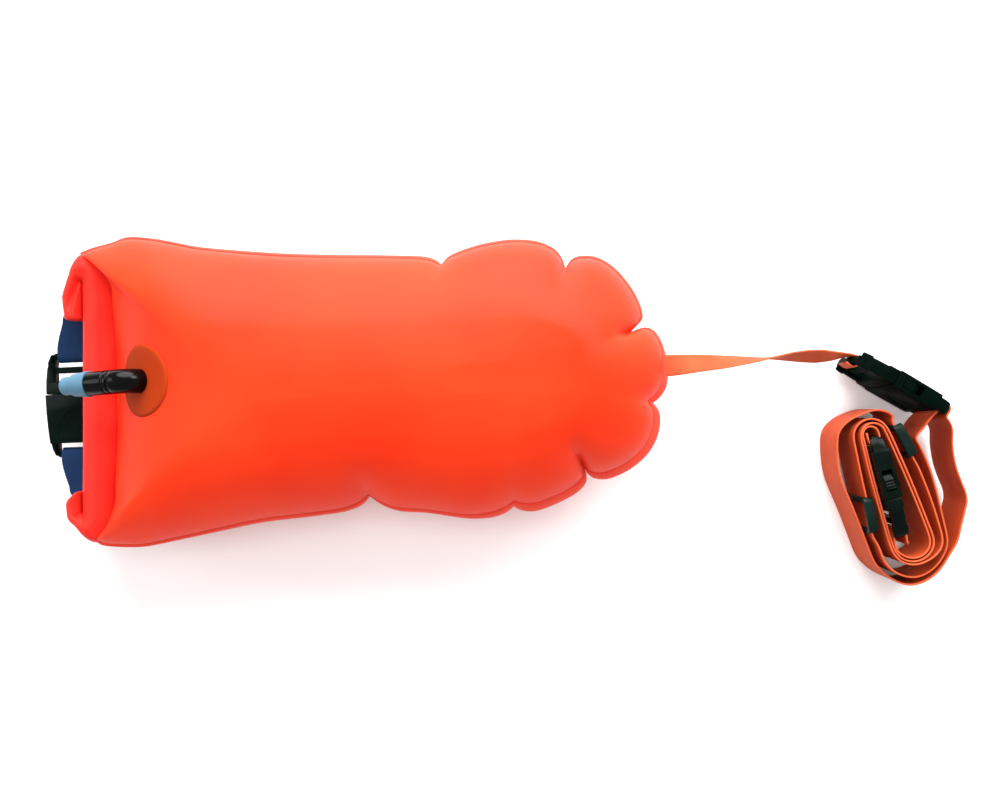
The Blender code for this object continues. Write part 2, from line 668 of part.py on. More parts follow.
def side_release_buckle(prefix, matrix):
    """Female shell, male body and the two prongs that spring into its windows."""
    half = BUCKLE_WIDTH / 2
    slot_inner = FEMALE_LENGTH - BAR_WIDTH - BAR_SLOT
    # Female: hollow body, side windows, end frame with its thinner bar
    body = half_outline(female_side_shares, FEMALE_LENGTH, 0, FEMALE_BODY_LENGTH, -1)
    female = plate(prefix + "_female", body, BUCKLE_DEPTH, matrix, ACETAL)
    soften(female, BUCKLE_EDGE * 2, 2)
    frame = half_outline(
        female_side_shares, FEMALE_LENGTH, FEMALE_BODY_LENGTH / 2, FEMALE_LENGTH, -1
    )
    end_frame = plate(prefix + "_female_frame", frame, RAIL_DEPTH, matrix, None, CUTTERS)
    soften(end_frame, BUCKLE_EDGE * 2, 2)
    join(female, guide(end_frame))
    thin_bar(female, prefix + "_female", sorted((-FEMALE_BODY_LENGTH, -FEMALE_LENGTH - CUT_OVERRUN)),
             matrix)
    slot = box(
        prefix + "_female_slot",
        (-FEMALE_LENGTH + BAR_WIDTH, -BAR_SLOT_SPAN / 2, -BUCKLE_DEPTH),
        (-slot_inner, BAR_SLOT_SPAN / 2, BUCKLE_DEPTH), matrix,
    )
    cut(female, slot)
    pocket = box(
        prefix + "_female_pocket", (-POCKET_DEPTH, -POCKET_SPAN / 2, -POCKET_HEIGHT / 2),
        (CUT_OVERRUN, POCKET_SPAN / 2, POCKET_HEIGHT / 2), matrix,
    )
    cut(female, pocket)
    windows = box(
        prefix + "_female_windows", (-WINDOW_FAR, -half - CUT_OVERRUN, -POCKET_HEIGHT / 2),
        (-WINDOW_NEAR, half + CUT_OVERRUN, POCKET_HEIGHT / 2), matrix,
    )
    cut(female, windows)

    for facing in (-1, 1):
        way = [(-FEMALE_BODY_LENGTH * x, half * y) for x, y in recess_shares]
        ring = way + [(x, -y) for x, y in reversed(way[1:])]
        low = facing * (BUCKLE_DEPTH / 2 + CUT_OVERRUN / 2 - FACE_RECESS)
        recess = plate(
            prefix + "_female_recess_" + ("front" if facing > 0 else "back"), ring, CUT_OVERRUN,
            matrix @ Matrix.Translation((0, 0, low)), None, CUTTERS,
        )
        cut(female, guide(recess))

    # Male: front block with the guide, then two webbing slots and the raised head
    block = half_outline(male_side_shares, MALE_LENGTH, SEAT_GAP, MALE_BODY_LENGTH, 1)
    male = plate(prefix + "_male", block, MALE_BODY_DEPTH, matrix, ACETAL)
    soften(male, BUCKLE_EDGE * 1.5, 2)
    ladder = half_outline(male_side_shares, MALE_LENGTH, MALE_BODY_LENGTH / 2, MALE_LENGTH, 1)
    rails = plate(prefix + "_male_ladder", ladder, RAIL_DEPTH, matrix, None, CUTTERS)
    soften(rails, BUCKLE_EDGE * 1.5, 2)
    join(male, guide(rails))
    end = half_outline(
        male_side_shares, MALE_LENGTH, MALE_LENGTH - HEAD_LENGTH, MALE_LENGTH - SEAT_GAP, 1
    )
    head = plate(prefix + "_male_head", end, HEAD_DEPTH, matrix, None, CUTTERS)
    soften(head, BUCKLE_EDGE * 2, 2)
    join(male, guide(head))
    near_slot = MALE_BODY_LENGTH + BUCKLE_EDGE
    thin_bar(male, prefix + "_male", (near_slot, MALE_LENGTH + CUT_OVERRUN), matrix)
    tongue = rounded(
        [
            (-GUIDE_REACH, -GUIDE_WIDTH / 2), (MALE_BODY_LENGTH / 2, -GUIDE_WIDTH / 2),
            (MALE_BODY_LENGTH / 2, GUIDE_WIDTH / 2), (-GUIDE_REACH, GUIDE_WIDTH / 2),
        ],
        GUIDE_WIDTH * 0.4,
    )
    join(male, guide(plate(prefix + "_male_tongue", tongue, PRONG_DEPTH, matrix, None, CUTTERS)))
    end_slot = MALE_LENGTH - BAR_WIDTH
    for number, far in enumerate((end_slot, near_slot + BAR_SLOT)):
        opening = box(
            prefix + "_male_slot_" + str(number + 1),
            (far - BAR_SLOT, -BAR_SLOT_SPAN / 2, -BUCKLE_DEPTH),
            (far, BAR_SLOT_SPAN / 2, BUCKLE_DEPTH), matrix,
        )
        cut(male, opening)
    clear = PRONG_ROOT + SLIDE_GAP
    for side in (-1, 1):
        low, high = sorted((side * (PRONG_PIVOT_Y - clear), side * (PRONG_PIVOT_Y + clear)))
        seat = box(
            prefix + "_male_seat_" + ("a" if side > 0 else "b"),
            (-CUT_OVERRUN, low, -POCKET_HEIGHT / 2),
            (PRONG_PIVOT_X + clear, high, POCKET_HEIGHT / 2), matrix,
        )
        cut(male, seat)

    # Prongs, each with its origin on the axis that it flexes about
    for side, letter in ((1, "a"), (-1, "b")):
        pivot = Vector((PRONG_PIVOT_X, side * PRONG_PIVOT_Y, 0))
        outline = [(x - pivot.x, side * y - pivot.y) for x, y in prong_outline()]
        prong = plate(
            prefix + "_prong_" + letter, outline, PRONG_DEPTH,
            matrix @ Matrix.Translation(pivot), ACETAL,
        )
        soften(prong, BUCKLE_EDGE / 3)
    return female, male


def buckle_frame(origin, along, across):
    along, across = along.normalized(), across.normalized()
    through = along.cross(across)
    frame = Matrix((along, across, through)).transposed().to_4x4()
    return Matrix.Translation(origin) @ frame


def closure():
    """Buckle under the roll, and the two webbing ends sewn beneath the ears."""
    origin = Vector((CLOSURE_WEB_X, CLOSURE_BUCKLE_Y, CLOSURE_BUCKLE_Z))
    matrix = buckle_frame(origin, Vector((0, 1, 0)), Vector((-1, 0, 0)))
    side_release_buckle("roll_buckle", matrix)
    ear_face = SEAM_HEIGHT - ROLL_EAR_HEIGHT / 2
    sewn = ear_face - SEAT_GAP - WEB_SHEET / 2
    for side, bar_x, name in ((1, MALE_BAR_X, "upper"), (-1, FEMALE_BAR_X, "lower")):
        wrap = local_stations(matrix, bar_wrap(bar_x, 90, -90))
        across = wrap[0][1]
        bar_y = origin.y + bar_x
        top, foot = wrap[0][0].z, wrap[-1][0].z
        end_y = side * (ROLL_EAR_END_Y + CLOSURE_WEB_OVERLAP)
        edge_y = side * ROLL_EAR_END_Y
        lead = [(end_y, sewn), (edge_y, sewn), ((edge_y + bar_y) / 2, (sewn + top) / 2)]
        under = sewn - WEB_SHEET - SEAT_GAP
        tail = [
            (bar_y + side * WRAP_RADIUS, foot),
            ((edge_y + bar_y) / 2, (under + foot) / 2 - WEB_SHEET),
            (edge_y, under - SEAT_GAP),
            (edge_y + side * CLOSURE_WEB_OVERLAP / 2, under),
        ]
        stations = [(Vector((CLOSURE_WEB_X, y, z)), across) for y, z in lead]
        stations += wrap
        stations += [(Vector((CLOSURE_WEB_X, y, z)), across) for y, z in tail]
        strap("closure_web_" + name, stations, CLOSURE_WEB_WIDTH, BLUE_WEB)


# The coil's own frame: along points up the closed belt buckle, across to its right
ALONG = Vector((math.cos(COIL_TURN), math.sin(COIL_TURN), 0))
ACROSS = Vector((ALONG.y, -ALONG.x, 0))
UPRIGHT = Vector((0, 0, 1))


def coil_place(along, across, height):
    return Vector((COIL_X, COIL_Y, height)) + ALONG * along + ACROSS * across


def coil_point(degrees, offset):
    """A point of an egg-shaped turn, offset outwards; 0 is its top, 90 its left."""
    angle = math.radians(degrees)
    upward = math.cos(angle)
    share = min(max((upward / COIL_SIDE_SHARE + 1) / 2, 0), 1)
    radius = COIL_FOOT_RADIUS + (COIL_TOP_RADIUS - COIL_FOOT_RADIUS) * share + offset
    along = COIL_FOOT_ALONG + (COIL_TOP_ALONG - COIL_FOOT_ALONG) * share
    across = COIL_FOOT_ACROSS + (COIL_TOP_ACROSS - COIL_FOOT_ACROSS) * share
    return along + radius * upward, across - radius * math.sin(angle)


def coil_strand(start_deg, end_deg, swell_table, height_table, inset):
    """One strand wound from the buckle outwards, each layer two pitches a turn apart."""
    stations = []
    degrees = start_deg
    while degrees <= end_deg:
        offset = 2 * COIL_LAYER_PITCH * (degrees - 270) / 360 - inset
        offset += LOOSE_SWELL * tween(swell_table, degrees)
        rise = COIL_HIGH_HEIGHT - COIL_LOW_HEIGHT
        height = COIL_LOW_HEIGHT + rise * tween(height_table, degrees)
        along, across = coil_point(degrees, offset)
        stations.append((coil_place(along, across, height), UPRIGHT))
        on_side = abs(math.cos(math.radians(degrees))) < COIL_SIDE_SHARE
        degrees += COIL_SIDE_STEP_DEG if on_side else COIL_ARC_STEP_DEG
    return stations


def straightened(stations, centre, direction):
    """Brings the webbing onto a straight line for as far as a slider needs."""
    reach = SLIDER_LENGTH / 2 + SLIDER_TRAVEL + SLIDE_GAP
    result = []
    done = False
    for middle, across in stations:
        away = middle - centre
        along = away.dot(direction)
        side = away - direction * along
        if abs(along) < reach and Vector((side.x, side.y)).length < COIL_LAYER_PITCH * 1.3:
            if not done:
                ends = [centre - direction * reach, centre + direction * reach]
                ends.sort(key=lambda point: (point - result[-1][0]).length)
                result += [(ends[0], across), (centre.copy(), across), (ends[1], across)]
                done = True
        else:
            result.append((middle, across))
    return result


def belt_slider(name, centre, direction, leaning):
    """A tri-glide: two outer bars behind the webbing and one middle bar before it."""
    matrix = buckle_frame(centre, direction, UPRIGHT if leaning > 0 else -UPRIGHT)
    half, wide = SLIDER_LENGTH / 2, SLIDER_WIDTH / 2
    lift = WEB_SHEET / 2 + SLIDE_GAP
    corners = [(-half, -wide), (half, -wide), (half, wide), (-half, wide)]
    outline = rounded(corners, SLIDER_BAR * 1.4)
    deep = 2 * (lift + SLIDER_SHEET)
    item = plate(name, outline, deep, matrix, ACETAL)
    soften(item, SLIDER_SHEET / 4, 2)
    rail = (SLIDER_WIDTH - BELT_WIDTH) / 2 - SLIDE_GAP
    opening = wide - rail
    for side in (-1, 1):
        low, high = sorted((side * SLIDER_BAR / 2, side * (half - SLIDER_BAR)))
        cut(item, box(name + "_slot_" + ("a" if side > 0 else "b"),
                      (low, -opening, -deep), (high, opening, deep), matrix))
        low, high = sorted((side * SLIDER_BAR / 2, side * (half + CUT_OVERRUN)))
        cut(item, box(name + "_relief_" + ("a" if side > 0 else "b"),
                      (low, -opening, -lift), (high, opening, deep), matrix))
    cut(item, box(name + "_under", (-SLIDER_BAR / 2 - SLIDE_GAP, -opening, -deep),
                  (SLIDER_BAR / 2 + SLIDE_GAP, opening, lift), matrix))
    return item


def least_gap(stations):
    """Least clear distance between turns of the webbing, seen from above."""
    points = []
    for (first, _), (second, _) in zip(stations, stations[1:]):
        for share in (0, 0.25, 0.5, 0.75):
            points.append(first.lerp(second, share).xy)
    least = BELT_WIDTH
    for index, point in enumerate(points):
        travelled = 0.0
        previous = point
        for other in points[index + 1:]:
            travelled += (other - previous).length
            previous = other
            if travelled > WRAP_RADIUS * 4:
                least = min(least, (other - point).length - WEB_SHEET)
    return least


def belt_and_leash():
    # Leash buckle, tilted on its long side
    along = Vector((math.cos(LEASH_BUCKLE_TURN), math.sin(LEASH_BUCKLE_TURN), 0))
    level = Vector((along.y, -along.x, 0))
    across = level * math.cos(LEASH_BUCKLE_TILT) + UPRIGHT * math.sin(LEASH_BUCKLE_TILT)
    origin = Vector((LEASH_BUCKLE_X, LEASH_BUCKLE_Y, LEASH_BUCKLE_Z))
    leash_frame = buckle_frame(origin, along, across)
    side_release_buckle("leash_buckle", leash_frame)

    # Belt buckle, closed, standing on its edge in the middle of the coil
    belt_origin = coil_place(HOOK_ALONG - WRAP_RADIUS + FEMALE_BAR_X, 0, COIL_HIGH_HEIGHT)
    belt_frame = buckle_frame(belt_origin, -ALONG, UPRIGHT)
    side_release_buckle("belt_buckle", belt_frame)

    slider_height = COIL_LOW_HEIGHT + (COIL_HIGH_HEIGHT - COIL_LOW_HEIGHT) * SLIDER_HEIGHT_SHARE
    slider_1 = coil_place(SLIDER_1_ALONG, SLIDER_1_ACROSS, slider_height)
    slider_2 = coil_place(SLIDER_2_ALONG, SLIDER_2_ACROSS, slider_height)
    way_1 = ALONG * math.cos(SLIDER_1_LEAN) + ACROSS * math.sin(SLIDER_1_LEAN)
    way_2 = ALONG * math.cos(SLIDER_2_LEAN) + ACROSS * math.sin(SLIDER_2_LEAN)
    belt_slider("belt_slider_1", slider_1, way_1, 1)
    belt_slider("belt_slider_2", slider_2, way_2, 1)

    outer = coil_strand(
        OUTER_START_DEG, OUTER_END_DEG, outer_swell_shares, outer_height_shares, 0
    )
    outer = straightened(outer, slider_1, way_1)
    inner = coil_strand(
        INNER_START_DEG, INNER_END_DEG, inner_swell_shares, inner_height_shares,
        COIL_LAYER_PITCH,
    )
    inner = straightened(inner, slider_2, way_2)

    # Foot end: webbing sewn round the male's end bar
    foot = local_stations(belt_frame, bar_wrap(MALE_BAR_X, -90, 90))
    foot_tail = foot[0][0] - ALONG * BAR_SLOT * 1.5
    start = [(foot_tail, UPRIGHT)] + foot
    # Head end: hooked over the female's end bar
    head = local_stations(belt_frame, bar_wrap(FEMALE_BAR_X, -90, 90))
    left = inner[0][0]
    hook_left = (left - Vector((COIL_X, COIL_Y, 0))).dot(ACROSS)
    hook_right = WRAP_RADIUS
    radius = (hook_right - hook_left) / 2
    centre = (hook_right + hook_left) / 2
    hook = []
    for step in range(9):
        angle = math.pi * step / 8
        hook.append((
            coil_place(
                HOOK_ALONG + radius * math.sin(angle),
                centre - radius * math.cos(angle), COIL_HIGH_HEIGHT,
            ),
            UPRIGHT,
        ))
    head_tail = head[-1][0] + ALONG * BAR_SLOT
    finish = hook + head + [(head_tail, UPRIGHT)]

    # Round the leash buckle's end bar, between the two strands
    wrap = local_stations(leash_frame, bar_wrap(FEMALE_BAR_X, -35, 195))
    entry = leash_frame @ Vector((FEMALE_BAR_X + BAR_SLOT * 0.9, 0, -BAR_SLOT * 1.7))
    last_inner, last_outer = inner[-1][0], outer[-1][0]
    tilt = wrap[0][1]
    inner_lead = [
        (last_inner.lerp(entry, 0.5), UPRIGHT.lerp(tilt, 0.45)),
        (entry, UPRIGHT.lerp(tilt, 0.85)),
    ]
    away = wrap[-1][0] + (wrap[-1][0] - wrap[-2][0]).normalized() * BAR_SLOT * 0.6
    bend = (last_outer + away) / 2 + ACROSS * BAR_SLOT * 0.6
    outer_lead = [
        (away, tilt), (away.lerp(bend, 0.6), tilt.lerp(UPRIGHT, 0.3)),
        (bend, tilt.lerp(UPRIGHT, 0.6)), (bend.lerp(last_outer, 0.5), tilt.lerp(UPRIGHT, 0.85)),
    ]
    route = start + outer + list(reversed(outer_lead)) + list(reversed(wrap))
    route += list(reversed(inner_lead)) + list(reversed(inner)) + finish
    strap("belt_strap", route, BELT_WIDTH, ORANGE_WEB)
    length = sum((b[0] - a[0]).length for a, b in zip(route, route[1:]))
    print("belt webbing", round(length, 3), "m, least gap between turns",
          round(least_gap(route) * 1000, 2), "mm, stations", len(route))
    leash(leash_frame)


def leash(leash_frame):
    """From under the weld flange, a half twist, then sewn round the male's end bar."""
    wrap = local_stations(leash_frame, bar_wrap(MALE_BAR_X, 118, -90))
    stations = []
    for index, (x, y, z, degrees) in enumerate(leash_route):
        ahead = Vector(leash_route[min(index + 1, len(leash_route) - 1)][:3])
        behind = Vector(leash_route[max(index - 1, 0)][:3])
        heading = (ahead - behind).normalized()
        level = Vector((-heading.y, heading.x, 0)).normalized()
        turn = math.radians(degrees)
        upward = heading.cross(level) * -1
        upward = upward if upward.z > 0 else -upward
        stations.append((Vector((x, y, z)), level * math.cos(turn) + upward * math.sin(turn)))
    tail_start = wrap[-1][0]
    sewn = tail_start + (stations[-1][0] - tail_start) * LEASH_TAIL_SHARE
    stations += wrap + [(sewn, wrap[-1][1])]
    strap("leash_strap", stations, LEASH_WIDTH, ORANGE_WEB)
    length = sum((b[0] - a[0]).length for a, b in zip(stations, stations[1:]))
    print("leash webbing", round(length, 3), "m")


def panel_spot(front, x):
    """The point of the front panel under (x, VALVE_Y), and its normal."""
    graph = bpy.context.evaluated_depsgraph_get()
    above = Vector((x, VALVE_Y, BAG_TOP_HEIGHT + CUT_OVERRUN))
    _, spot, normal, _ = front.evaluated_get(graph).ray_cast(above, Vector((0, 0, -1)))
    return spot, normal


def upright_at(spot, normal):
    return Matrix.Translation(spot) @ normal.to_track_quat("Z", "Y").to_matrix().to_4x4()


def valve_patch(front):
    """A disc of the panel's own face, lifted off it and trimmed, over the air hole."""
    middle, middle_normal = panel_spot(front, VALVE_X)
    spot, normal = panel_spot(front, VALVE_X - VALVE_ELBOW_SHIFT)
    patch = place("valve_patch", front.data.copy(), PATCH)
    lift = patch.modifiers.new("lift", "DISPLACE")
    lift.mid_level = 0
    lift.strength = VALVE_PATCH_LIFT
    solidify(patch, VALVE_PATCH_SHEET, 1)
    rim = turned("valve_patch_rim", [
        (0, VALVE_PATCH_RADIUS), (VALVE_PATCH_RADIUS, VALVE_PATCH_RADIUS),
        (VALVE_PATCH_RADIUS, -VALVE_PATCH_RADIUS), (0, -VALVE_PATCH_RADIUS),
    ], upright_at(middle, middle_normal), None, collection=CUTTERS)
    keep = patch.modifiers.new("disc", "BOOLEAN")
    keep.operation = "INTERSECT"
    keep.object = guide(rim)
    hole = turned("valve_air_hole", [
        (0, CUT_OVERRUN), (VALVE_AIR_HOLE_RADIUS, CUT_OVERRUN),
        (VALVE_AIR_HOLE_RADIUS, -CUT_OVERRUN), (0, -CUT_OVERRUN),
    ], upright_at(spot, normal), None, collection=CUTTERS)
    cut(patch, guide(hole))
    cut(front, hole)
    return spot, normal


def valve_elbow(foot, normal, heading):
    """A bored tube that rises off the patch, then bends over towards the mouth."""
    bend = VALVE_ELBOW_BEND
    turn = normal.angle(heading)
    rise = VALVE_RISE - bend * math.tan(turn / 2)
    inward = (heading - normal * heading.dot(normal)).normalized()
    centre = foot + normal * rise + inward * bend
    points = [foot]
    for step in range(VALVE_ELBOW_STEPS + 1):
        angle = turn * step / VALVE_ELBOW_STEPS
        points.append(centre - inward * bend * math.cos(angle) + normal * bend * math.sin(angle))
    points.append(points[-1] + heading * VALVE_ELBOW_RUN)
    elbow = tube_piece("valve_elbow", points, VALVE_TUBE_RADIUS, 3, RUBBER)
    way = [foot - normal * CUT_OVERRUN, *points[1:-1], points[-1] + heading * CUT_OVERRUN]
    bore = tube_piece("valve_elbow_bore", way, VALVE_TUBE_BORE, 2, None, None, CUTTERS)
    cut(elbow, guide(bore))
    return points[-1]


def valve(front):
    """Patch, elbow, tube and the push mouthpiece with its poppet, seal and spring."""
    spot, normal = valve_patch(front)
    level = math.cos(VALVE_SLOPE)
    heading = Vector((
        -math.cos(VALVE_TURN) * level, -math.sin(VALVE_TURN) * level, -math.sin(VALVE_SLOPE)
    ))
    foot = spot + normal * (VALVE_PATCH_LIFT + VALVE_PATCH_SHEET + SEAT_GAP)
    elbow_end = valve_elbow(foot, normal, heading)

    # Everything beyond the elbow is turned about one axis, +Z of this frame
    side = Vector((heading.y, -heading.x, 0)).normalized()
    turn = Matrix((side, heading.cross(side), heading)).transposed().to_4x4()
    frame = Matrix.Translation(elbow_end + heading * SEAT_GAP) @ turn
    length = VALVE_TUBE_LENGTH
    seat_top = VALVE_SEAT_PLACE + VALVE_SEAT_WALL
    groove = VALVE_TUBE_RADIUS - VALVE_GROOVE_DEPTH
    groove_end = VALVE_GROOVE_PLACE + VALVE_GROOVE_WIDTH
    turned("valve_tube", [
        (VALVE_TUBE_RADIUS, length), (VALVE_TUBE_RADIUS, groove_end + VALVE_GROOVE_DEPTH),
        (groove, groove_end), (groove, VALVE_GROOVE_PLACE),
        (VALVE_TUBE_RADIUS, VALVE_GROOVE_PLACE - VALVE_GROOVE_DEPTH), (VALVE_TUBE_RADIUS, 0),
        (VALVE_TUBE_BORE, 0), (VALVE_TUBE_BORE, VALVE_SEAT_PLACE),
        (VALVE_SEAT_BORE, VALVE_SEAT_PLACE), (VALVE_SEAT_BORE, seat_top),
        (VALVE_TUBE_BORE, seat_top), (VALVE_TUBE_BORE, length),
    ], frame, RUBBER, on_axis=False)
    ring_foot = length + SEAT_GAP
    ring_top = ring_foot + LOCK_RING_LENGTH
    ring_bore = MOUTHPIECE_RADIUS + SLIDE_GAP
    turned("valve_lock_ring", [
        (LOCK_RING_TOP_RADIUS, ring_top - LOCK_RING_EDGE),
        (LOCK_RING_RADIUS, ring_foot + LOCK_RING_EDGE * 2),
        (LOCK_RING_RADIUS, ring_foot + LOCK_RING_EDGE),
        (LOCK_RING_RADIUS - LOCK_RING_EDGE, ring_foot), (ring_bore, ring_foot),
        (ring_bore, ring_top), (LOCK_RING_TOP_RADIUS - LOCK_RING_EDGE, ring_top),
    ], frame, PALE_BLUE, on_axis=False)
    shoulder = ring_top - MOUTHPIECE_SINK
    tip = shoulder + MOUTHPIECE_NOSE_LENGTH
    stem_end = shoulder - MOUTHPIECE_STEM_LENGTH
    tip_round = [
        (MOUTHPIECE_RADIUS - MOUTHPIECE_EDGE * inward, tip - MOUTHPIECE_EDGE * (1 - back))
        for inward, back in mouthpiece_tip_shares
    ]
    turned("valve_mouthpiece", [
        *tip_round,
        (MOUTHPIECE_RADIUS, tip - MOUTHPIECE_EDGE), (MOUTHPIECE_RADIUS, shoulder),
        (MOUTHPIECE_STEM_RADIUS, shoulder), (MOUTHPIECE_STEM_RADIUS, stem_end),
        (MOUTHPIECE_BORE, stem_end), (MOUTHPIECE_BORE, tip),
    ], frame, PALE_BLUE, on_axis=False)
    disc_foot = VALVE_SEAT_PLACE - SEAL_WALL - SEAT_GAP * 2 - POPPET_DISC_SHEET
    disc_top = disc_foot + POPPET_DISC_SHEET
    turned("valve_poppet", [
        (0, stem_end - SEAT_GAP), (POPPET_STEM_RADIUS, stem_end - SEAT_GAP),
        (POPPET_STEM_RADIUS, disc_top), (POPPET_DISC_RADIUS, disc_top),
        (POPPET_DISC_RADIUS, disc_foot), (0, disc_foot),
    ], frame, ACETAL)
    seal_bore = POPPET_STEM_RADIUS + SEAT_GAP
    seal_top = VALVE_SEAT_PLACE - SEAT_GAP
    turned("valve_seal", [
        (POPPET_DISC_RADIUS, seal_top), (POPPET_DISC_RADIUS, seal_top - SEAL_WALL),
        (seal_bore, seal_top - SEAL_WALL), (seal_bore, seal_top),
    ], frame, RUBBER, on_axis=False)
    spring(frame, seat_top + SEAT_GAP + SPRING_WIRE, stem_end - SEAT_GAP - SPRING_WIRE)


def spring(frame, foot, top):
    """A coil spring between the seat and the end of the mouthpiece's stem."""
    count = SPRING_CURLS * SPRING_CURL_STEPS
    points = []
    for index in range(count + 1):
        turn = 2 * math.pi * index / SPRING_CURL_STEPS
        height = foot + (top - foot) * index / count
        points.append((SPRING_RADIUS * math.cos(turn), SPRING_RADIUS * math.sin(turn), height))
    tube_piece("valve_spring", points, SPRING_WIRE, 1, STEEL, frame)


front_panel = float_bag()
roll_top()
closure()
belt_and_leash()
valve(front_panel)
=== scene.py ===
import json
import math
import bmesh
import bpy
from mathutils import Euler, Matrix, Vector, noise
from mathutils.bvhtree import BVHTree

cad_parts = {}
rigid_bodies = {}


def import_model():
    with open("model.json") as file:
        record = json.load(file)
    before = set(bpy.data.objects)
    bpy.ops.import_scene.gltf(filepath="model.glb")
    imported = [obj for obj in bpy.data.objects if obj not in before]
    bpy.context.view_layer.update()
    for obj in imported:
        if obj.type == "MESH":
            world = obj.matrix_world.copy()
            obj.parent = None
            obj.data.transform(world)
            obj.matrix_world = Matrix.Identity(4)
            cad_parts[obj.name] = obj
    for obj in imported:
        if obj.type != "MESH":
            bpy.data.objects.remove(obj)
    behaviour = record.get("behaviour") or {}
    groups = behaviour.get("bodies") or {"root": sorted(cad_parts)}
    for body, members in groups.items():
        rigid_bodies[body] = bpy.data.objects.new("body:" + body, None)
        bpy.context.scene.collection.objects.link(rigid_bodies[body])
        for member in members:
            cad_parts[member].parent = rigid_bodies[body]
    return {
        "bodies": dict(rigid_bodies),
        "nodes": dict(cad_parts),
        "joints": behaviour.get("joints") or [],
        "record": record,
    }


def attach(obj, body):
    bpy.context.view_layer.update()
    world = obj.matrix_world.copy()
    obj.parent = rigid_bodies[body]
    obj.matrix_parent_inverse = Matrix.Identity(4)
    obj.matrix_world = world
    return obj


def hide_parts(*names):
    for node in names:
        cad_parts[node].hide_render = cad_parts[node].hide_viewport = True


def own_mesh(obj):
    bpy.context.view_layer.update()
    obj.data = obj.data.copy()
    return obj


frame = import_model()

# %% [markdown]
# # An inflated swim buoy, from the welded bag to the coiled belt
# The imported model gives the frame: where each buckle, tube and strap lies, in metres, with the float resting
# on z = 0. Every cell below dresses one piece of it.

scene = bpy.context.scene
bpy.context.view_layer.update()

# %% [markdown]
# The photograph looks straight down from about arm's length above the table, and it is
# turned a little against the float. A point of the table at a known height can then be
# found from its pixel, which is how the welded edge further down gets its shape.

# %% Camera and the way from a pixel to the table
PHOTO_WIDTH, PHOTO_HEIGHT = 1000, 812
EYE_HEIGHT = 0.760
TABLE_WIDTH = 0.800
UNDER_EYE = Vector((0.0910, -0.0193, 0))
PHOTO_TURN = math.radians(2.4)

camera_data = bpy.data.cameras.new("overhead")
camera_data.sensor_width = 36
camera_data.lens = camera_data.sensor_width * EYE_HEIGHT / TABLE_WIDTH
camera = bpy.data.objects.new("overhead", camera_data)
camera.location = UNDER_EYE + Vector((0, 0, EYE_HEIGHT))
camera.rotation_euler = Euler((0, 0, -PHOTO_TURN))
scene.collection.objects.link(camera)
scene.camera = camera


def from_pixel(column, row, height):
    """The point at that height which the photograph shows at this pixel."""
    size = TABLE_WIDTH / PHOTO_WIDTH * (1 - height / EYE_HEIGHT)
    flat = Vector((column - PHOTO_WIDTH / 2, PHOTO_HEIGHT / 2 - row, 0)) * size
    return UNDER_EYE + Matrix.Rotation(-PHOTO_TURN, 3, "Z") @ flat + Vector((0, 0, height))


# %% [markdown]
# A pale tabletop and three broad lamps stand in for a bright room. The strongest lamp is
# above the far side, because the bag is palest there and its shadow falls to the near side.

# %% Table and light
scene.view_settings.view_transform = "Standard"


def area_light(name, place, aim, width, watts, tint=(1, 1, 1)):
    data = bpy.data.lights.new(name, "AREA")
    data.shape = "DISK"
    data.size = width
    data.energy = watts
    data.color = tint
    lamp = bpy.data.objects.new(name, data)
    lamp.location = place
    lamp.rotation_euler = (Vector(aim) - Vector(place)).to_track_quat("-Z", "Y").to_euler()
    scene.collection.objects.link(lamp)
    return lamp


area_light("window", (0.10, 1.30, 0.75), (0.05, 0.0, 0.06), 1.5, 46)
ceiling = area_light("ceiling", (0.10, 0.10, 1.9), (0.1, 0.0, 0.0), 1.4, 17)
ceiling.visible_glossy = False
area_light("side", (1.15, 0.95, 0.85), (0.2, 0.0, 0.0), 0.8, 17)
area_light("left", (-1.30, 0.35, 1.00), (-0.15, 0.0, 0.06), 0.8, 5)

world = bpy.data.worlds.new("room")
scene.world = world
world.use_nodes = True
world.node_tree.nodes["Background"].inputs["Color"].default_value = (1.0, 0.99, 0.98, 1)
world.node_tree.nodes["Background"].inputs["Strength"].default_value = 0.55

bm = bmesh.new()
bmesh.ops.create_grid(bm, x_segments=1, y_segments=1, size=4)
table_mesh = bpy.data.meshes.new("table_top")
bm.to_mesh(table_mesh)
bm.free()
table_top = bpy.data.objects.new("table_top", table_mesh)
scene.collection.objects.link(table_top)
pale = bpy.data.materials.new("pale_table")
pale.use_nodes = True
pale.node_tree.nodes["Principled BSDF"].inputs["Base Color"].default_value = (0.94, 0.94, 0.94, 1)
pale.node_tree.nodes["Principled BSDF"].inputs["Roughness"].default_value = 0.9
pale.node_tree.nodes["Principled BSDF"].inputs["Specular IOR Level"].default_value = 0.1
table_mesh.materials.append(pale)

# %% [markdown]
# Each finish is built from a few shared groups: a fine cloth under the coating, a ribbed
# webbing, and the faint grain of moulded plastic. A group is made once and gives out only
# masks and bumps, so that every material keeps its own shader.

# %% Helpers for node groups and materials
def new_group(name, inputs, outputs):
    """A shader group with float inputs {name: value} and outputs {name: socket type}."""
    group = bpy.data.node_groups.new(name, "ShaderNodeTree")
    for label, value in inputs.items():
        kind = "NodeSocketVector" if value is None else "NodeSocketFloat"
        socket = group.interface.new_socket(label, in_out="INPUT", socket_type=kind)
        if value is not None:
            socket.default_value = value
    for label, kind in outputs.items():
        group.interface.new_socket(label, in_out="OUTPUT", socket_type=kind)
    return group, group.nodes.new("NodeGroupInput"), group.nodes.new("NodeGroupOutput")


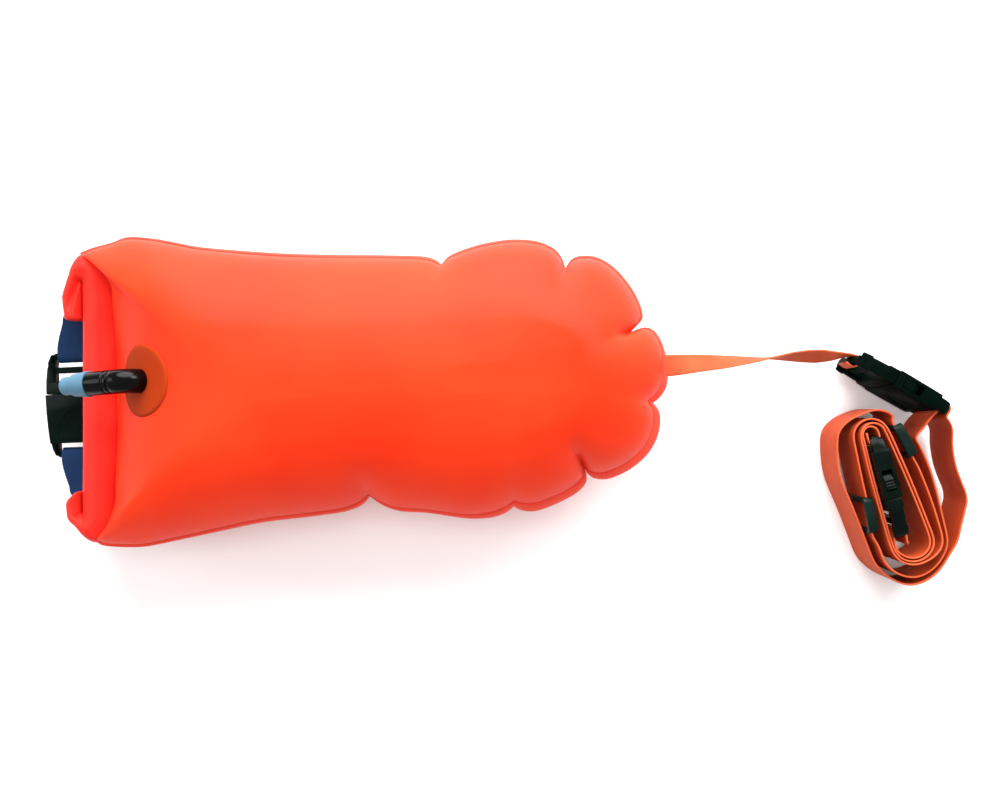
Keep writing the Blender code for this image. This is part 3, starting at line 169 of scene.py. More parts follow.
def sum_node(tree, operation, first, second=0.5, third=None):
    """A Math node whose inputs are sockets or numbers; gives its output."""
    node = tree.nodes.new("ShaderNodeMath")
    node.operation = operation
    for index, value in enumerate((first, second, third)):
        if isinstance(value, bpy.types.NodeSocket):
            tree.links.new(value, node.inputs[index])
        elif value is not None:
            node.inputs[index].default_value = value
    return node.outputs[0]


def noise_node(tree, vector, scale, detail=2.0, roughness=0.5):
    node = tree.nodes.new("ShaderNodeTexNoise")
    tree.links.new(vector, node.inputs["Vector"])
    node.inputs["Scale"].default_value = scale
    node.inputs["Detail"].default_value = detail
    node.inputs["Roughness"].default_value = roughness
    return node.outputs["Fac"]


def stretched(tree, vector, scale):
    node = tree.nodes.new("ShaderNodeMapping")
    node.inputs["Scale"].default_value = scale
    tree.links.new(vector, node.inputs["Vector"])
    return node.outputs["Vector"]


def blend_colours(tree, amount, low, high):
    """A colour that goes from low to high as amount goes from 0 to 1."""
    node = tree.nodes.new("ShaderNodeMix")
    node.data_type = "RGBA"
    tree.links.new(amount, node.inputs["Factor"])
    for socket, colour in ((node.inputs["A"], low), (node.inputs["B"], high)):
        if isinstance(colour, bpy.types.NodeSocket):
            tree.links.new(colour, socket)
        else:
            socket.default_value = (*colour, 1)
    return node.outputs["Result"]


def remap(tree, value, low, high, new_low, new_high):
    node = tree.nodes.new("ShaderNodeMapRange")
    tree.links.new(value, node.inputs["Value"])
    for label, number in (
        ("From Min", low), ("From Max", high), ("To Min", new_low), ("To Max", new_high)
    ):
        node.inputs[label].default_value = number
    return node.outputs["Result"]


def new_material(name, roughness=0.5, specular=0.5):
    """An empty material with its Principled shader; gives (material, tree, shader)."""
    material = bpy.data.materials.new(name)
    material.use_nodes = True
    shader = material.node_tree.nodes["Principled BSDF"]
    shader.inputs["Roughness"].default_value = roughness
    shader.inputs["Specular IOR Level"].default_value = specular
    return material, material.node_tree, shader


def bump(tree, shader, height, distance, strength=1.0):
    node = tree.nodes.new("ShaderNodeBump")
    node.inputs["Distance"].default_value = distance
    node.inputs["Strength"].default_value = strength
    tree.links.new(height, node.inputs["Height"])
    tree.links.new(node.outputs["Normal"], shader.inputs["Normal"])
    return node


def place_group(tree, group, **values):
    """Puts a group into a material; values are numbers or sockets, with _ for a space."""
    node = tree.nodes.new("ShaderNodeGroup")
    node.node_tree = group
    for label, value in values.items():
        socket = node.inputs[label.replace("_", " ")]
        if isinstance(value, bpy.types.NodeSocket):
            tree.links.new(value, socket)
        else:
            socket.default_value = value
    return node


def object_space(tree):
    return tree.nodes.new("ShaderNodeTexCoord").outputs["Object"]


# %% [markdown]
# The bag is nylon cloth with a polyurethane coat. From a step away the cloth is only a
# faint cross-hatch in the gloss. Crossing waves along and across the bag make it, and a
# slow noise gives the uneven, slightly clouded coat that such bags have.

# %% Coated cloth group
THREAD_PITCH = 0.00055

cloth_group, cloth_in, cloth_out = new_group(
    "coated_cloth",
    {"Place": None, "Pitch": THREAD_PITCH, "Cloud Scale": 9.0},
    {"Threads": "NodeSocketFloat", "Cloud": "NodeSocketFloat"},
)
split = cloth_group.nodes.new("ShaderNodeSeparateXYZ")
cloth_group.links.new(cloth_in.outputs["Place"], split.inputs["Vector"])
turns = sum_node(cloth_group, "DIVIDE", 2 * math.pi, cloth_in.outputs["Pitch"])
warp = sum_node(cloth_group, "SINE", sum_node(cloth_group, "MULTIPLY", split.outputs["X"], turns))
weft = sum_node(cloth_group, "SINE", sum_node(cloth_group, "MULTIPLY", split.outputs["Y"], turns))
crossing = sum_node(cloth_group, "MULTIPLY", warp, weft)
cloth_group.links.new(
    sum_node(cloth_group, "MULTIPLY_ADD", crossing, 0.5, 0.5), cloth_out.inputs["Threads"]
)
cloud = cloth_group.nodes.new("ShaderNodeTexNoise")
cloth_group.links.new(cloth_in.outputs["Place"], cloud.inputs["Vector"])
cloth_group.links.new(cloth_in.outputs["Cloud Scale"], cloud.inputs["Scale"])
cloud.inputs["Detail"].default_value = 3.0
cloth_group.links.new(cloud.outputs["Fac"], cloth_out.inputs["Cloud"])


def coated_cloth(name, deep, lit, roughness, specular=0.40, thread_depth=0.00005):
    """Coated cloth whose colour drifts from deep to lit with the clouding of the coat."""
    material, tree, shader = new_material(name, roughness, specular=specular)
    shader.inputs["IOR"].default_value = 1.28
    cloth = place_group(tree, cloth_group, Place=object_space(tree))
    clouded = remap(tree, cloth.outputs["Cloud"], 0.32, 0.68, 0.0, 1.0)
    tree.links.new(blend_colours(tree, clouded, deep, lit), shader.inputs["Base Color"])
    gloss = remap(tree, cloth.outputs["Cloud"], 0.3, 0.7, roughness - 0.05, roughness + 0.06)
    tree.links.new(gloss, shader.inputs["Roughness"])
    bump(tree, shader, cloth.outputs["Threads"], thread_depth, 0.5)
    return material


BAG_CLOTH = coated_cloth("bag_cloth", (0.79, 0.027, 0.003), (0.86, 0.042, 0.007), 0.52)
ROLL_CLOTH = coated_cloth("roll_cloth", (0.77, 0.021, 0.013), (0.83, 0.030, 0.019), 0.52)
FLANGE_CLOTH = coated_cloth("flange_cloth", (0.77, 0.056, 0.032), (0.83, 0.072, 0.042), 0.50)
PATCH_CLOTH = coated_cloth("patch_cloth", (0.34, 0.030, 0.004), (0.40, 0.040, 0.007), 0.62, 0.10)
print("cloth finishes:", [m.name for m in (BAG_CLOTH, ROLL_CLOTH, FLANGE_CLOTH, PATCH_CLOTH)])

# %% [markdown]
# The float is two sheets of coated cloth welded together all round. Blown up, the welded
# edge is too long for the space it is left, so it puckers into lobes with sharp nicks
# between them. The edge is drawn first: pixels of the photograph for the ends of each
# stretch, and smooth curves between them, with a corner wherever the cloth nicks in.

# %% The welded edge
SEAM_HEIGHT = 0.063
WELD_WIDTH = 0.0065
EDGE_STEP = 0.0032
# Stretches of the edge between two nicks, as pixels along each one
edge_stretches = (
    ((80.0, 253.6), (93.8, 247.2), (109, 242), (125, 236), (144.8, 236.5), (165, 239.5),
     (195.8, 245.4), (234, 249), (285, 252.3), (330, 253.5), (380, 254), (420, 255),
     (434, 258), (441, 263)),
    ((441, 263), (450, 254), (470, 246), (492, 240.5), (515, 238), (538, 240), (554, 247),
     (562, 256), (566, 267)),
    ((566, 267), (572, 258), (582, 254.5), (598, 256), (616, 267), (632, 286), (641, 303),
     (644, 316), (640, 323), (630, 333)),
    ((630, 333), (640, 328), (650, 327), (659, 334), (666, 350), (669, 368), (668, 385),
     (662, 396), (654, 403)),
    ((654, 403), (660, 411), (661, 424), (657, 440), (647, 456), (630, 470), (610, 479),
     (596, 479), (588, 474), (583, 465)),
    ((583, 465), (587, 475), (586, 484), (576, 494), (556, 504.5), (536, 511.5), (522, 511),
     (514, 507)),
    ((514, 507), (505, 514), (490, 518.5), (470, 519.5), (450, 517), (425, 513.5), (400, 512),
     (382, 506), (369, 497)),
    ((369, 497), (362, 505), (350, 510.5), (336, 513.8), (300, 518.5), (259.6, 523.5),
     (208.6, 534.2), (172.9, 541.8), (144.8, 547.4), (127, 548.2), (111, 546.8),
     (101.2, 544.4), (94.8, 539.4)),
)
# The mouth: pixels along it, and how far in millimetres its two sheets stand apart from the seam
mouth_rows = (
    (94.8, 539.4, 0), (101.2, 533.4, 10), (106.5, 521.4, 13), (112, 506, 14), (112.9, 480.6, 12),
    (115.5, 442, 6), (116.7, 414, 4), (115.5, 399, 4), (115.5, 363, 5), (113.7, 340, 8),
    (111, 317, 12), (109.6, 302, 14), (108.6, 285.5, 15), (104, 276.5, 15), (96.3, 266.8, 14.5),
    (88, 259.5, 12), (80.0, 253.6, 0),
)


def curve_through(corners, step):
    """Points a step apart on a smooth curve through the corners, the last one left out."""
    fine = []
    for index in range(len(corners) - 1):
        before = corners[max(index - 1, 0)]
        start, end = corners[index], corners[index + 1]
        after = corners[min(index + 2, len(corners) - 1)]
        for part in range(12):
            t = part / 12
            fine.append(0.5 * (
                start * 2 + (end - before) * t
                + (before * 2 - start * 5 + end * 4 - after) * t**2
                + (start * 3 - before - end * 3 + after) * t**3
            ))
    fine.append(corners[-1].copy())
    return even_steps(fine, step)


def even_steps(points, step):
    """The same line with its points spread evenly, the last one left out."""
    runs = [(b - a).length for a, b in zip(points, points[1:])]
    count = max(2, round(sum(runs) / step))
    spread, travelled, index = [], 0.0, 0
    for number in range(count):
        wanted = sum(runs) * number / count
        while travelled + runs[index] < wanted:
            travelled += runs[index]
            index += 1
        spread.append(points[index].lerp(points[index + 1], (wanted - travelled) / runs[index]))
    return spread


welded_edge = []
for stretch in edge_stretches:
    corners = [from_pixel(column, row, SEAM_HEIGHT) for column, row in stretch]
    welded_edge += curve_through(corners, EDGE_STEP)
mouth_line = curve_through(
    [from_pixel(column, row, SEAM_HEIGHT + apart / 1000) for column, row, apart in mouth_rows],
    EDGE_STEP,
)
mouth_opening = [0.0] * len(welded_edge) + [point.z - SEAM_HEIGHT for point in mouth_line]
for point in mouth_line:
    point.z = SEAM_HEIGHT
print("welded edge:", len(welded_edge), "points; mouth:", len(mouth_line), "points")

# %% [markdown]
# The two sheets start as one closed skin: the edge loop is pulled in ring by ring towards a
# spine, once for the front and once for the back, and each ring is lifted onto a dome. A
# cloth simulation then blows the skin up while the weld holds still, which draws the
# valleys that run in from every nick. Away from the weld the skin is then evened out,
# because a bag under pressure is taut there. At the mouth the sheets stand apart: they
# come over the rolled end, and only their corners reach as far as its fold.

# %% A first, evenly domed skin
SPINE_FROM, SPINE_TO = -0.070, 0.115
CROWN_HEIGHT = 0.1288
RINGS = 28


def spine_of(point):
    return Vector((min(max(point.x, SPINE_FROM), SPINE_TO), 0, point.z))


def eased_step(value, start, end):
    share = min(max((value - start) / (end - start), 0), 1)
    return share * share * (3 - 2 * share)


def weld_share(point):
    """1 along the weld, going to 0 where it runs into the rolled mouth."""
    return eased_step(point.x, -0.2120, -0.1850)


def flat_width(point):
    """How wide the weld is from above: it lies flat on the near lobes, hangs elsewhere."""
    near_lobes = eased_step(point.x, 0.05, 0.12) * eased_step(point.y, 0.03, -0.03)
    return 0.0002 + (0.0020 + 0.0030 * near_lobes) * weld_share(point)


def inside_weld(point):
    """Where the weld's inner line passes, seen from a point of the cut edge."""
    return point + (spine_of(point) - point).normalized() * flat_width(point)


def evened_loop(line, passes):
    for _ in range(passes):
        line = [
            (line[i - 1] + line[i] * 2 + line[(i + 1) % len(line)]) / 4 for i in range(len(line))
        ]
    return line


weld_line = [inside_weld(point) for point in welded_edge] + mouth_line
soft_line = evened_loop(weld_line, 10)
calm_line = evened_loop(weld_line, 160)


def dome_rise(share):
    return (1 - share**2.1) ** 0.62


def dome_point(number, ring, facing):
    """A point of the domed skin; the rings go from the weld to the spine."""
    opening = mouth_opening[number]
    share = 0.994 if opening and ring == 1 else (1 - ring / RINGS) ** 1.05
    keep = max(0.0, (share - 0.62) / 0.38)
    edge = soft_line[number].lerp(weld_line[number], keep**3)
    edge = calm_line[number].lerp(edge, min(1.0, keep * 1.6))
    if opening and ring == 1:
        edge = weld_line[number]
    spine = spine_of(edge)
    cap = 0.16 if facing > 0 else 0.24
    rise = dome_rise(max(share, cap)) / dome_rise(cap)
    height = CROWN_HEIGHT - SEAM_HEIGHT if facing > 0 else SEAM_HEIGHT
    lifted = ((height * rise) ** 3 + (opening * min(1, share * 1.3)) ** 3) ** (1 / 3)
    place = spine.lerp(edge, share)
    return Vector((place.x, place.y, SEAM_HEIGHT + facing * min(lifted, height)))


bm = bmesh.new()
step_layer = bm.verts.layers.int.new("step")
ring_layer = bm.verts.layers.int.new("ring")
seam_verts = []
for number, point in enumerate(weld_line):
    vert = bm.verts.new(point)
    vert[step_layer] = number
    seam_verts.append(vert)
seam_edges = [
    bm.edges.new((a, b)) for a, b in zip(seam_verts, seam_verts[1:] + seam_verts[:1])
]
for facing in (1, -1):
    loop = seam_edges
    for ring in range(1, RINGS + 1):
        made = bmesh.ops.extrude_edge_only(bm, edges=loop)["geom"]
        loop = [item for item in made if isinstance(item, bmesh.types.BMEdge)]
        for vert in (item for item in made if isinstance(item, bmesh.types.BMVert)):
            vert.co = dome_point(vert[step_layer], ring, facing)
            vert[ring_layer] = ring * facing
bmesh.ops.remove_doubles(bm, verts=bm.verts, dist=0.0009)
bmesh.ops.holes_fill(bm, edges=bm.edges, sides=0)
bmesh.ops.recalc_face_normals(bm, faces=bm.faces)
skin_mesh = bpy.data.meshes.new("float_skin")
bm.to_mesh(skin_mesh)
bm.free()
float_skin = bpy.data.objects.new("float_skin", skin_mesh)
scene.collection.objects.link(float_skin)
print("domed skin:", len(skin_mesh.vertices), "vertices")


# %% Blow it up as cloth, then even out its taut middle
def blow_up(item, pinned, pressure, frames, reach):
    """Runs the item as cloth with air in it; no point may move further than reach."""
    start = [vert.co.copy() for vert in item.data.vertices]
    group = item.vertex_groups.new(name="held")
    for index, weight in pinned.items():
        group.add([index], weight, "REPLACE")
    cloth = item.modifiers.new("air", "CLOTH")
    cloth.settings.use_pressure = True
    cloth.settings.uniform_pressure_force = pressure
    cloth.settings.effector_weights.gravity = 0
    cloth.settings.quality = 6
    cloth.settings.tension_stiffness = 30
    cloth.settings.compression_stiffness = 12
    cloth.settings.bending_stiffness = 0.8
    cloth.settings.vertex_group_mass = "held"
    cloth.collision_settings.use_collision = False
    cloth.point_cache.frame_start, cloth.point_cache.frame_end = 1, frames
    for number in range(1, frames + 1):
        scene.frame_set(number)
    shape = item.evaluated_get(bpy.context.evaluated_depsgraph_get()).to_mesh()
    moved = [vert.co.copy() for vert in shape.vertices]
    item.modifiers.remove(cloth)
    item.vertex_groups.clear()
    scene.frame_set(1)
    largest = 0.0
    for vert, before, after in zip(item.data.vertices, start, moved):
        move = after - before
        largest = max(largest, move.length)
        vert.co = before + move * min(1, reach / max(move.length, 1e-9))
    return largest


def even_out(item, from_ring, passes):
    """Smooths the rings further from the weld than from_ring, the more the further in."""
    bm = bmesh.new()
    bm.from_mesh(item.data)
    ring_layer = bm.verts.layers.int["ring"]
    for number in range(passes):
        first = from_ring + (passes - number) * (RINGS - from_ring) // (passes * 3)
        inner = [vert for vert in bm.verts if abs(vert[ring_layer]) >= first]
        bmesh.ops.smooth_vert(
            bm, verts=inner, factor=0.5, use_axis_x=True, use_axis_y=True, use_axis_z=True
        )
    crown = [vert for vert in bm.verts if abs(vert[ring_layer]) > RINGS * 0.6]
    for _ in range(60):
        bmesh.ops.smooth_vert(
            bm, verts=crown, factor=0.5, use_axis_x=True, use_axis_y=True, use_axis_z=True
        )
    corners = [vert for vert in bm.verts if abs(vert[ring_layer]) > 1 and vert.co.x < -0.155]
    for _ in range(18):
        bmesh.ops.smooth_vert(
            bm, verts=corners, factor=0.5, use_axis_x=True, use_axis_y=True, use_axis_z=True
        )
    bm.to_mesh(item.data)
    bm.free()


held = {}
for vert in skin_mesh.vertices:
    if abs(vert.co.z - SEAM_HEIGHT) < 1e-5 or vert.co.z < 0.0006 or vert.co.x < -0.186:
        held[vert.index] = 1.0
print("cloth moved", round(blow_up(float_skin, held, 1.6, 12, 0.004) * 1000, 1), "mm at most")
even_out(float_skin, 4, 24)
for vert in skin_mesh.vertices:
    vert.co.z = max(vert.co.z, 0.0004)
skin_mesh.shade_smooth()
skin_mesh.materials.append(BAG_CLOTH)
fineness = float_skin.modifiers.new("fineness", "SUBSURF")
fineness.levels = fineness.render_levels = 1
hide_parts("outer_front_panel", "outer_back_panel")
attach(float_skin, "float")


# %% [markdown]
# Most of what follows is a section carried along a path: the flat weld, webbing, the rolled
# mouth and the tube. One helper does it, by extruding the first ring of points from station
# to station. It also notes how far along and across each point is, in metres, so that a
# weave can follow the webbing round every bend.

# %% Carrying a section along a path
def new_piece(name, bm, material, body, slot, *nodes):
    """A smooth piece of the mesh, riding on its body in place of the nodes."""
    mesh = bpy.data.meshes.new(name)
    bm.to_mesh(mesh)
    bm.free()
    mesh.materials.append(material)
    mesh.shade_smooth()
    item = bpy.data.objects.new(name, mesh)
    scene.collection.objects.link(item)
    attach(item, body)
    if nodes:
        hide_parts(*nodes)
    return item


def carried(rings, along, across, closed=True, capped=True):
    """Extrudes rings of points in turn; along is for each ring, across for each point."""
    bm = bmesh.new()
    place = bm.verts.layers.int.new("place")
    down = bm.verts.layers.float.new("down")
    side = bm.verts.layers.float.new("side")
    verts = []
    for index, point in enumerate(rings[0]):
        vert = bm.verts.new(point)
        vert[place], vert[down], vert[side] = index, along[0], across[index]
        verts.append(vert)
    pairs = list(zip(verts, verts[1:])) + ([(verts[-1], verts[0])] if closed else [])
    first = edges = [bm.edges.new(pair) for pair in pairs]
    for number in range(1, len(rings)):
        made = bmesh.ops.extrude_edge_only(bm, edges=edges)["geom"]
        edges = [item for item in made if isinstance(item, bmesh.types.BMEdge)]
        edges = [edge for edge in edges if edge.verts[0] in made and edge.verts[1] in made]
        for vert in (item for item in made if isinstance(item, bmesh.types.BMVert)):
            vert.co = rings[number][vert[place]]
            vert[down] = along[number]
    if capped and closed:
        bmesh.ops.holes_fill(bm, edges=[edge for edge in bm.edges if edge.is_boundary], sides=0)
    bmesh.ops.recalc_face_normals(bm, faces=bm.faces)
    weave = bm.loops.layers.uv.new("weave")
    for face in bm.faces:
        for corner in face.loops:
            corner[weave].uv = (corner.vert[down], corner.vert[side])
    return bm


def lengths_along(points):
    along = [0.0]
    for before, after in zip(points, points[1:]):
        along.append(along[-1] + (after - before).length)
    return along


# %% [markdown]
# The weld is a strip 6.5 mm wide, pressed flat through both sheets. Its cut edge isn't held
# by the air: on the far side it hangs down, so that only a dark crescent of it is seen, and
# on the near lobes it lies nearly flat.

# %% The weld round the float
WELD_SHEET = 0.0011
weld_rings = []
for outer, inner in zip(welded_edge, weld_line):
    drop = Vector((0, 0, -math.sqrt(WELD_WIDTH**2 - flat_width(outer)**2))) * weld_share(outer)
    deeper = inner.lerp(spine_of(inner), 0.02)
    half = Vector((0, 0, WELD_SHEET / 2))
    side = (outer - inner).normalized() * WELD_SHEET / 2 * (1 - flat_width(outer) / WELD_WIDTH)
    middle = outer.lerp(inner, 0.40) + drop * 0.45
    weld_rings.append([
        outer + drop - half * 0.6, outer + drop + side * 0.4 + half * 0.6, middle + half + side,
        inner + half * 2.2, deeper + half, deeper - half, inner - half * 2.2,
        middle - half - side,
    ])
bm = carried(weld_rings, lengths_along(welded_edge), [0.0] * 8)
weld = new_piece(
    "weld_flange", bm, FLANGE_CLOTH, "float", "coated_fabric",
    "liner_front_sheet", "liner_back_sheet",
)
print("weld flange:", len(weld.data.vertices), "vertices")

# %% [markdown]
# The mouth is wound round a hidden strip three or four times, and both ends of that bundle
# fold back towards the buckle. The bundle is a rounded section carried along a hairpin.
# Each station is given by where its two sides are seen from above, because the fold is wide
# on the bar, narrow where it doubles back, and a soft ear after that.

# %% The rolled mouth
ROLL_SIDES = 40
BAR_LEFT, BAR_RIGHT = -0.2132, -0.1903
BAR_HEIGHT, EAR_HEIGHT = 0.0270, 0.0240
ROLL_TURN = 0.042


def bundle_section(outer, inner, height, fold, groove, groove_at):
    """A soft oval from its inner to its outer side; fold makes its top a blunt ridge."""
    ring = []
    middle, half = (outer + inner) / 2, (outer - inner) / 2
    for side in range(ROLL_SIDES):
        turn = 2 * math.pi * side / ROLL_SIDES
        across = math.copysign(abs(math.cos(turn)) ** 0.86, math.cos(turn))
        upward = math.copysign(abs(math.sin(turn)) ** 0.80, math.sin(turn))
        if upward > 0:
            left, right = max(0, -across), max(0, across)
            roof = (1 - 0.36 * left - 0.58 * right) * (1 - abs(across) ** 6) ** 0.5
            upward += fold * (roof - upward)
        upward -= groove * math.exp(-((across - groove_at) / 0.26) ** 2) * max(0, upward)
        place = middle + half * across + Vector((0, 0, upward * height / 2))
        wave = noise.noise(Vector((place.x * 40, place.y * 26, turn * 0.4)))
        ring.append(place + Vector((0, 0, 0.0008 * wave)) + half * 0.05 * wave)
    return ring


def table_value(table, place):
    """A value between the rows of a table of (place, value)."""
    for (start, first), (end, second) in zip(table, table[1:]):
        if place <= end:
            return first + (second - first) * max(0, (place - start) / (end - start))
    return table[-1][1]


def hairpin(side, fold_y, reach, ear_rows):
    """Stations from the middle of the bar, round the fold and back along the ear."""
    stations = []
    for step in range(15):
        y = side * fold_y * step / 14
        swell = 0.0006 * math.sin(step * 1.1 + side) + 0.0034 * (1 - (step / 14) ** 4)
        stations.append((
            Vector((BAR_RIGHT + swell, y, SEAM_HEIGHT)), Vector((BAR_LEFT, y, SEAM_HEIGHT)),
            BAR_HEIGHT, 1.0, 0.0, 0.0,
        ))
    pivot = Vector((BAR_LEFT - 0.0002, side * fold_y, SEAM_HEIGHT))
    for step in range(1, 15):
        degrees = 180 * step / 15
        way = Vector((math.cos(math.radians(degrees)), side * math.sin(math.radians(degrees)), 0))
        height = BAR_HEIGHT + (EAR_HEIGHT - BAR_HEIGHT) * step / 15
        stations.append((
            pivot + way * table_value(reach, degrees), pivot + way * 0.0003, height,
            1 - step / 15, 0.40 * eased_step(degrees, 95, 150), -0.75,
        ))
    for y, left, height, groove, groove_at in ear_rows:
        stations.append((
            Vector((left, y, SEAM_HEIGHT)), Vector((BAR_LEFT - 0.0004, y, SEAM_HEIGHT)),
            height, 0.0, groove, groove_at,
        ))
    return stations


far_half = hairpin(
    1, 0.084,
    ((0, 0.0231), (30, 0.0232), (60, 0.0222), (80, 0.0222), (93, 0.0212), (115, 0.0152),
     (147, 0.0105), (180, 0.0108)),
    ((0.0820, -0.2250, 0.0240, 0.46, -0.66), (0.0785, -0.2264, 0.0240, 0.50, -0.50),
     (0.0750, -0.2276, 0.0238, 0.50, -0.36), (0.0715, -0.2277, 0.0236, 0.46, -0.22),
     (0.0680, -0.2273, 0.0234, 0.38, -0.10), (0.0645, -0.2266, 0.0230, 0.24, -0.02),
     (0.0610, -0.2260, 0.0226, 0.10, 0.0), (0.0582, -0.2258, 0.0218, 0.0, 0.0),
     (0.0568, -0.2252, 0.0200, 0.0, 0.0), (0.0562, -0.2240, 0.0170, 0.0, 0.0)),
)
near_half = hairpin(
    -1, 0.0845,
    ((0, 0.0231), (40, 0.0262), (67, 0.0260), (80, 0.0200), (92, 0.0140), (113, 0.0104),
     (147, 0.0102), (180, 0.0106)),
    ((-0.0815, -0.2242, 0.0238, 0.38, -0.5), (-0.0780, -0.2249, 0.0234, 0.26, -0.3),
     (-0.0750, -0.2242, 0.0230, 0.12, -0.1), (-0.0725, -0.2216, 0.0224, 0.0, 0.0),
     (-0.0700, -0.2186, 0.0212, 0.0, 0.0), (-0.0686, -0.2166, 0.0190, 0.0, 0.0)),
)
path = list(reversed(near_half)) + far_half[1:]
roll_rings = [bundle_section(*station) for station in path]
for ring in roll_rings:
    for point in ring:
        point.x += ROLL_TURN * point.y
roll_along = lengths_along([(station[0] + station[1]) / 2 for station in path])
bm = carried(roll_rings, roll_along, [0.002 * side for side in range(ROLL_SIDES)])
roll = new_piece("rolled_mouth", bm, ROLL_CLOTH, "float", "coated_fabric", "roll_top")
fineness = roll.modifiers.new("fineness", "SUBSURF")
fineness.levels = fineness.render_levels = 1
print("rolled mouth:", len(path), "stations")

# %% [markdown]
# Webbing is a flat polyester band with a fine herringbone and a slightly thicker, paler
# selvedge at each edge. Its mask and its bump come from one group that reads the metres
# along and across the band, so that the ribs keep their size and turn with the webbing.

# %% Webbing weave group
weave_group, weave_in, weave_out = new_group(
    "webbing_weave",
    {"Place": None, "Rib Pitch": 0.0017, "Band": 0.0048, "Half Width": 0.019},
    {"Ribs": "NodeSocketFloat", "Selvedge": "NodeSocketFloat", "Fade": "NodeSocketFloat"},
)
split = weave_group.nodes.new("ShaderNodeSeparateXYZ")
weave_group.links.new(weave_in.outputs["Place"], split.inputs["Vector"])
zigzag = sum_node(weave_group, "PINGPONG", split.outputs["Y"], weave_in.outputs["Band"])
slanted = sum_node(weave_group, "MULTIPLY_ADD", zigzag, 1.3, split.outputs["X"])
turns = sum_node(weave_group, "DIVIDE", 2 * math.pi, weave_in.outputs["Rib Pitch"])
twill = sum_node(weave_group, "SINE", sum_node(weave_group, "MULTIPLY", slanted, turns))
fine_turns = sum_node(weave_group, "MULTIPLY", turns, 2.0)
picks = sum_node(weave_group, "SINE", sum_node(weave_group, "MULTIPLY", split.outputs["X"], fine_turns))
ribs = sum_node(weave_group, "MULTIPLY_ADD", twill, 0.35, 0.5)
weave_group.links.new(sum_node(weave_group, "MULTIPLY_ADD", picks, 0.15, ribs), weave_out.inputs["Ribs"])
inset = sum_node(weave_group, "SUBTRACT", weave_in.outputs["Half Width"], sum_node(
    weave_group, "ABSOLUTE", split.outputs["Y"], None))
selvedge = weave_group.nodes.new("ShaderNodeMapRange")
weave_group.links.new(inset, selvedge.inputs["Value"])
for label, number in (("From Min", 0.0002), ("From Max", 0.0011), ("To Min", 1.0), ("To Max", 0.0)):
    selvedge.inputs[label].default_value = number
weave_group.links.new(selvedge.outputs["Result"], weave_out.inputs["Selvedge"])
fade = weave_group.nodes.new("ShaderNodeTexNoise")
weave_group.links.new(weave_in.outputs["Place"], fade.inputs["Vector"])
fade.inputs["Scale"].default_value = 60.0
fade.inputs["Detail"].default_value = 3.0
weave_group.links.new(fade.outputs["Fac"], weave_out.inputs["Fade"])


def webbing_cloth(name, deep, lit, edge, half_width, pitch=0.0017, depth=0.00016):
    material, tree, shader = new_material(name, 0.66, specular=0.14)
    place = tree.nodes.new("ShaderNodeUVMap")
    place.uv_map = "weave"
    weave = place_group(
        tree, weave_group, Place=place.outputs["UV"], Rib_Pitch=pitch, Half_Width=half_width
    )
    # The colour runs from deep to lit with a random mottle and with the rib height. It is lighter on the rib
    # crests and darker in the troughs between them, which is painted shade in the weave.
    mottle_and_rib_shade = sum_node(tree, "MULTIPLY_ADD", weave.outputs["Fade"], 0.55,
                      sum_node(tree, "MULTIPLY", weave.outputs["Ribs"], 0.5))
    body = blend_colours(tree, remap(tree, mottle_and_rib_shade, 0.3, 0.75, 0.0, 1.0), deep, lit)
    tree.links.new(
        blend_colours(tree, weave.outputs["Selvedge"], body, edge), shader.inputs["Base Color"]
    )
    bump(tree, shader, weave.outputs["Ribs"], depth, 0.7)
    return material


BELT_WEB = webbing_cloth(
    "belt_webbing", (0.41, 0.044, 0.010), (0.54, 0.078, 0.019), (0.66, 0.11, 0.040), 0.019
)
LEASH_WEB = webbing_cloth(
    "leash_webbing", (0.36, 0.042, 0.014), (0.66, 0.112, 0.036), (0.66, 0.12, 0.045), 0.008,
    0.0024, 0.00045,
)
BLUE_WEB = webbing_cloth(
    "closure_webbing", (0.003, 0.015, 0.050), (0.007, 0.029, 0.090), (0.012, 0.045, 0.14), 0.019
)


# %% [markdown]
# A band of webbing is drawn from stations: where its middle is, and which way its width
# points. The stations are evened out on a smooth curve first, and a section with rounded
# edges is carried along them.

# %% Drawing webbing
WEB_SHEET = 0.0014


def smooth_stations(stations, step):
    """Even stations on a smooth curve through the given ones, ends included."""
    fine = []
    for index in range(len(stations) - 1):
        before = stations[max(index - 1, 0)][0]
        (start, across), (end, across_after) = stations[index], stations[index + 1]
        after = stations[min(index + 2, len(stations) - 1)][0]
        run = (end - start).length
        before = start + (before - start).normalized() * run if index else start * 2 - end
        after = end + (after - end).normalized() * run if index + 2 < len(stations) else end * 2 - start
        for part in range(6):
            t = part / 6
            point = 0.5 * (
                start * 2 + (end - before) * t + (before * 2 - start * 5 + end * 4 - after) * t**2
                + (start * 3 - before - end * 3 + after) * t**3
            )
            fine.append((point, across.lerp(across_after, t).normalized()))
    fine.append((stations[-1][0].copy(), stations[-1][1].normalized()))
    runs = lengths_along([station[0] for station in fine])
    count = max(4, round(runs[-1] / step))
    spread, index = [], 0
    for number in range(count + 1):
        wanted = runs[-1] * number / count
        while index < len(fine) - 2 and runs[index + 1] < wanted:
            index += 1
        share = (wanted - runs[index]) / (runs[index + 1] - runs[index])
        spread.append((
            fine[index][0].lerp(fine[index + 1][0], share),
            fine[index][1].lerp(fine[index + 1][1], share).normalized(),
        ))
    return spread


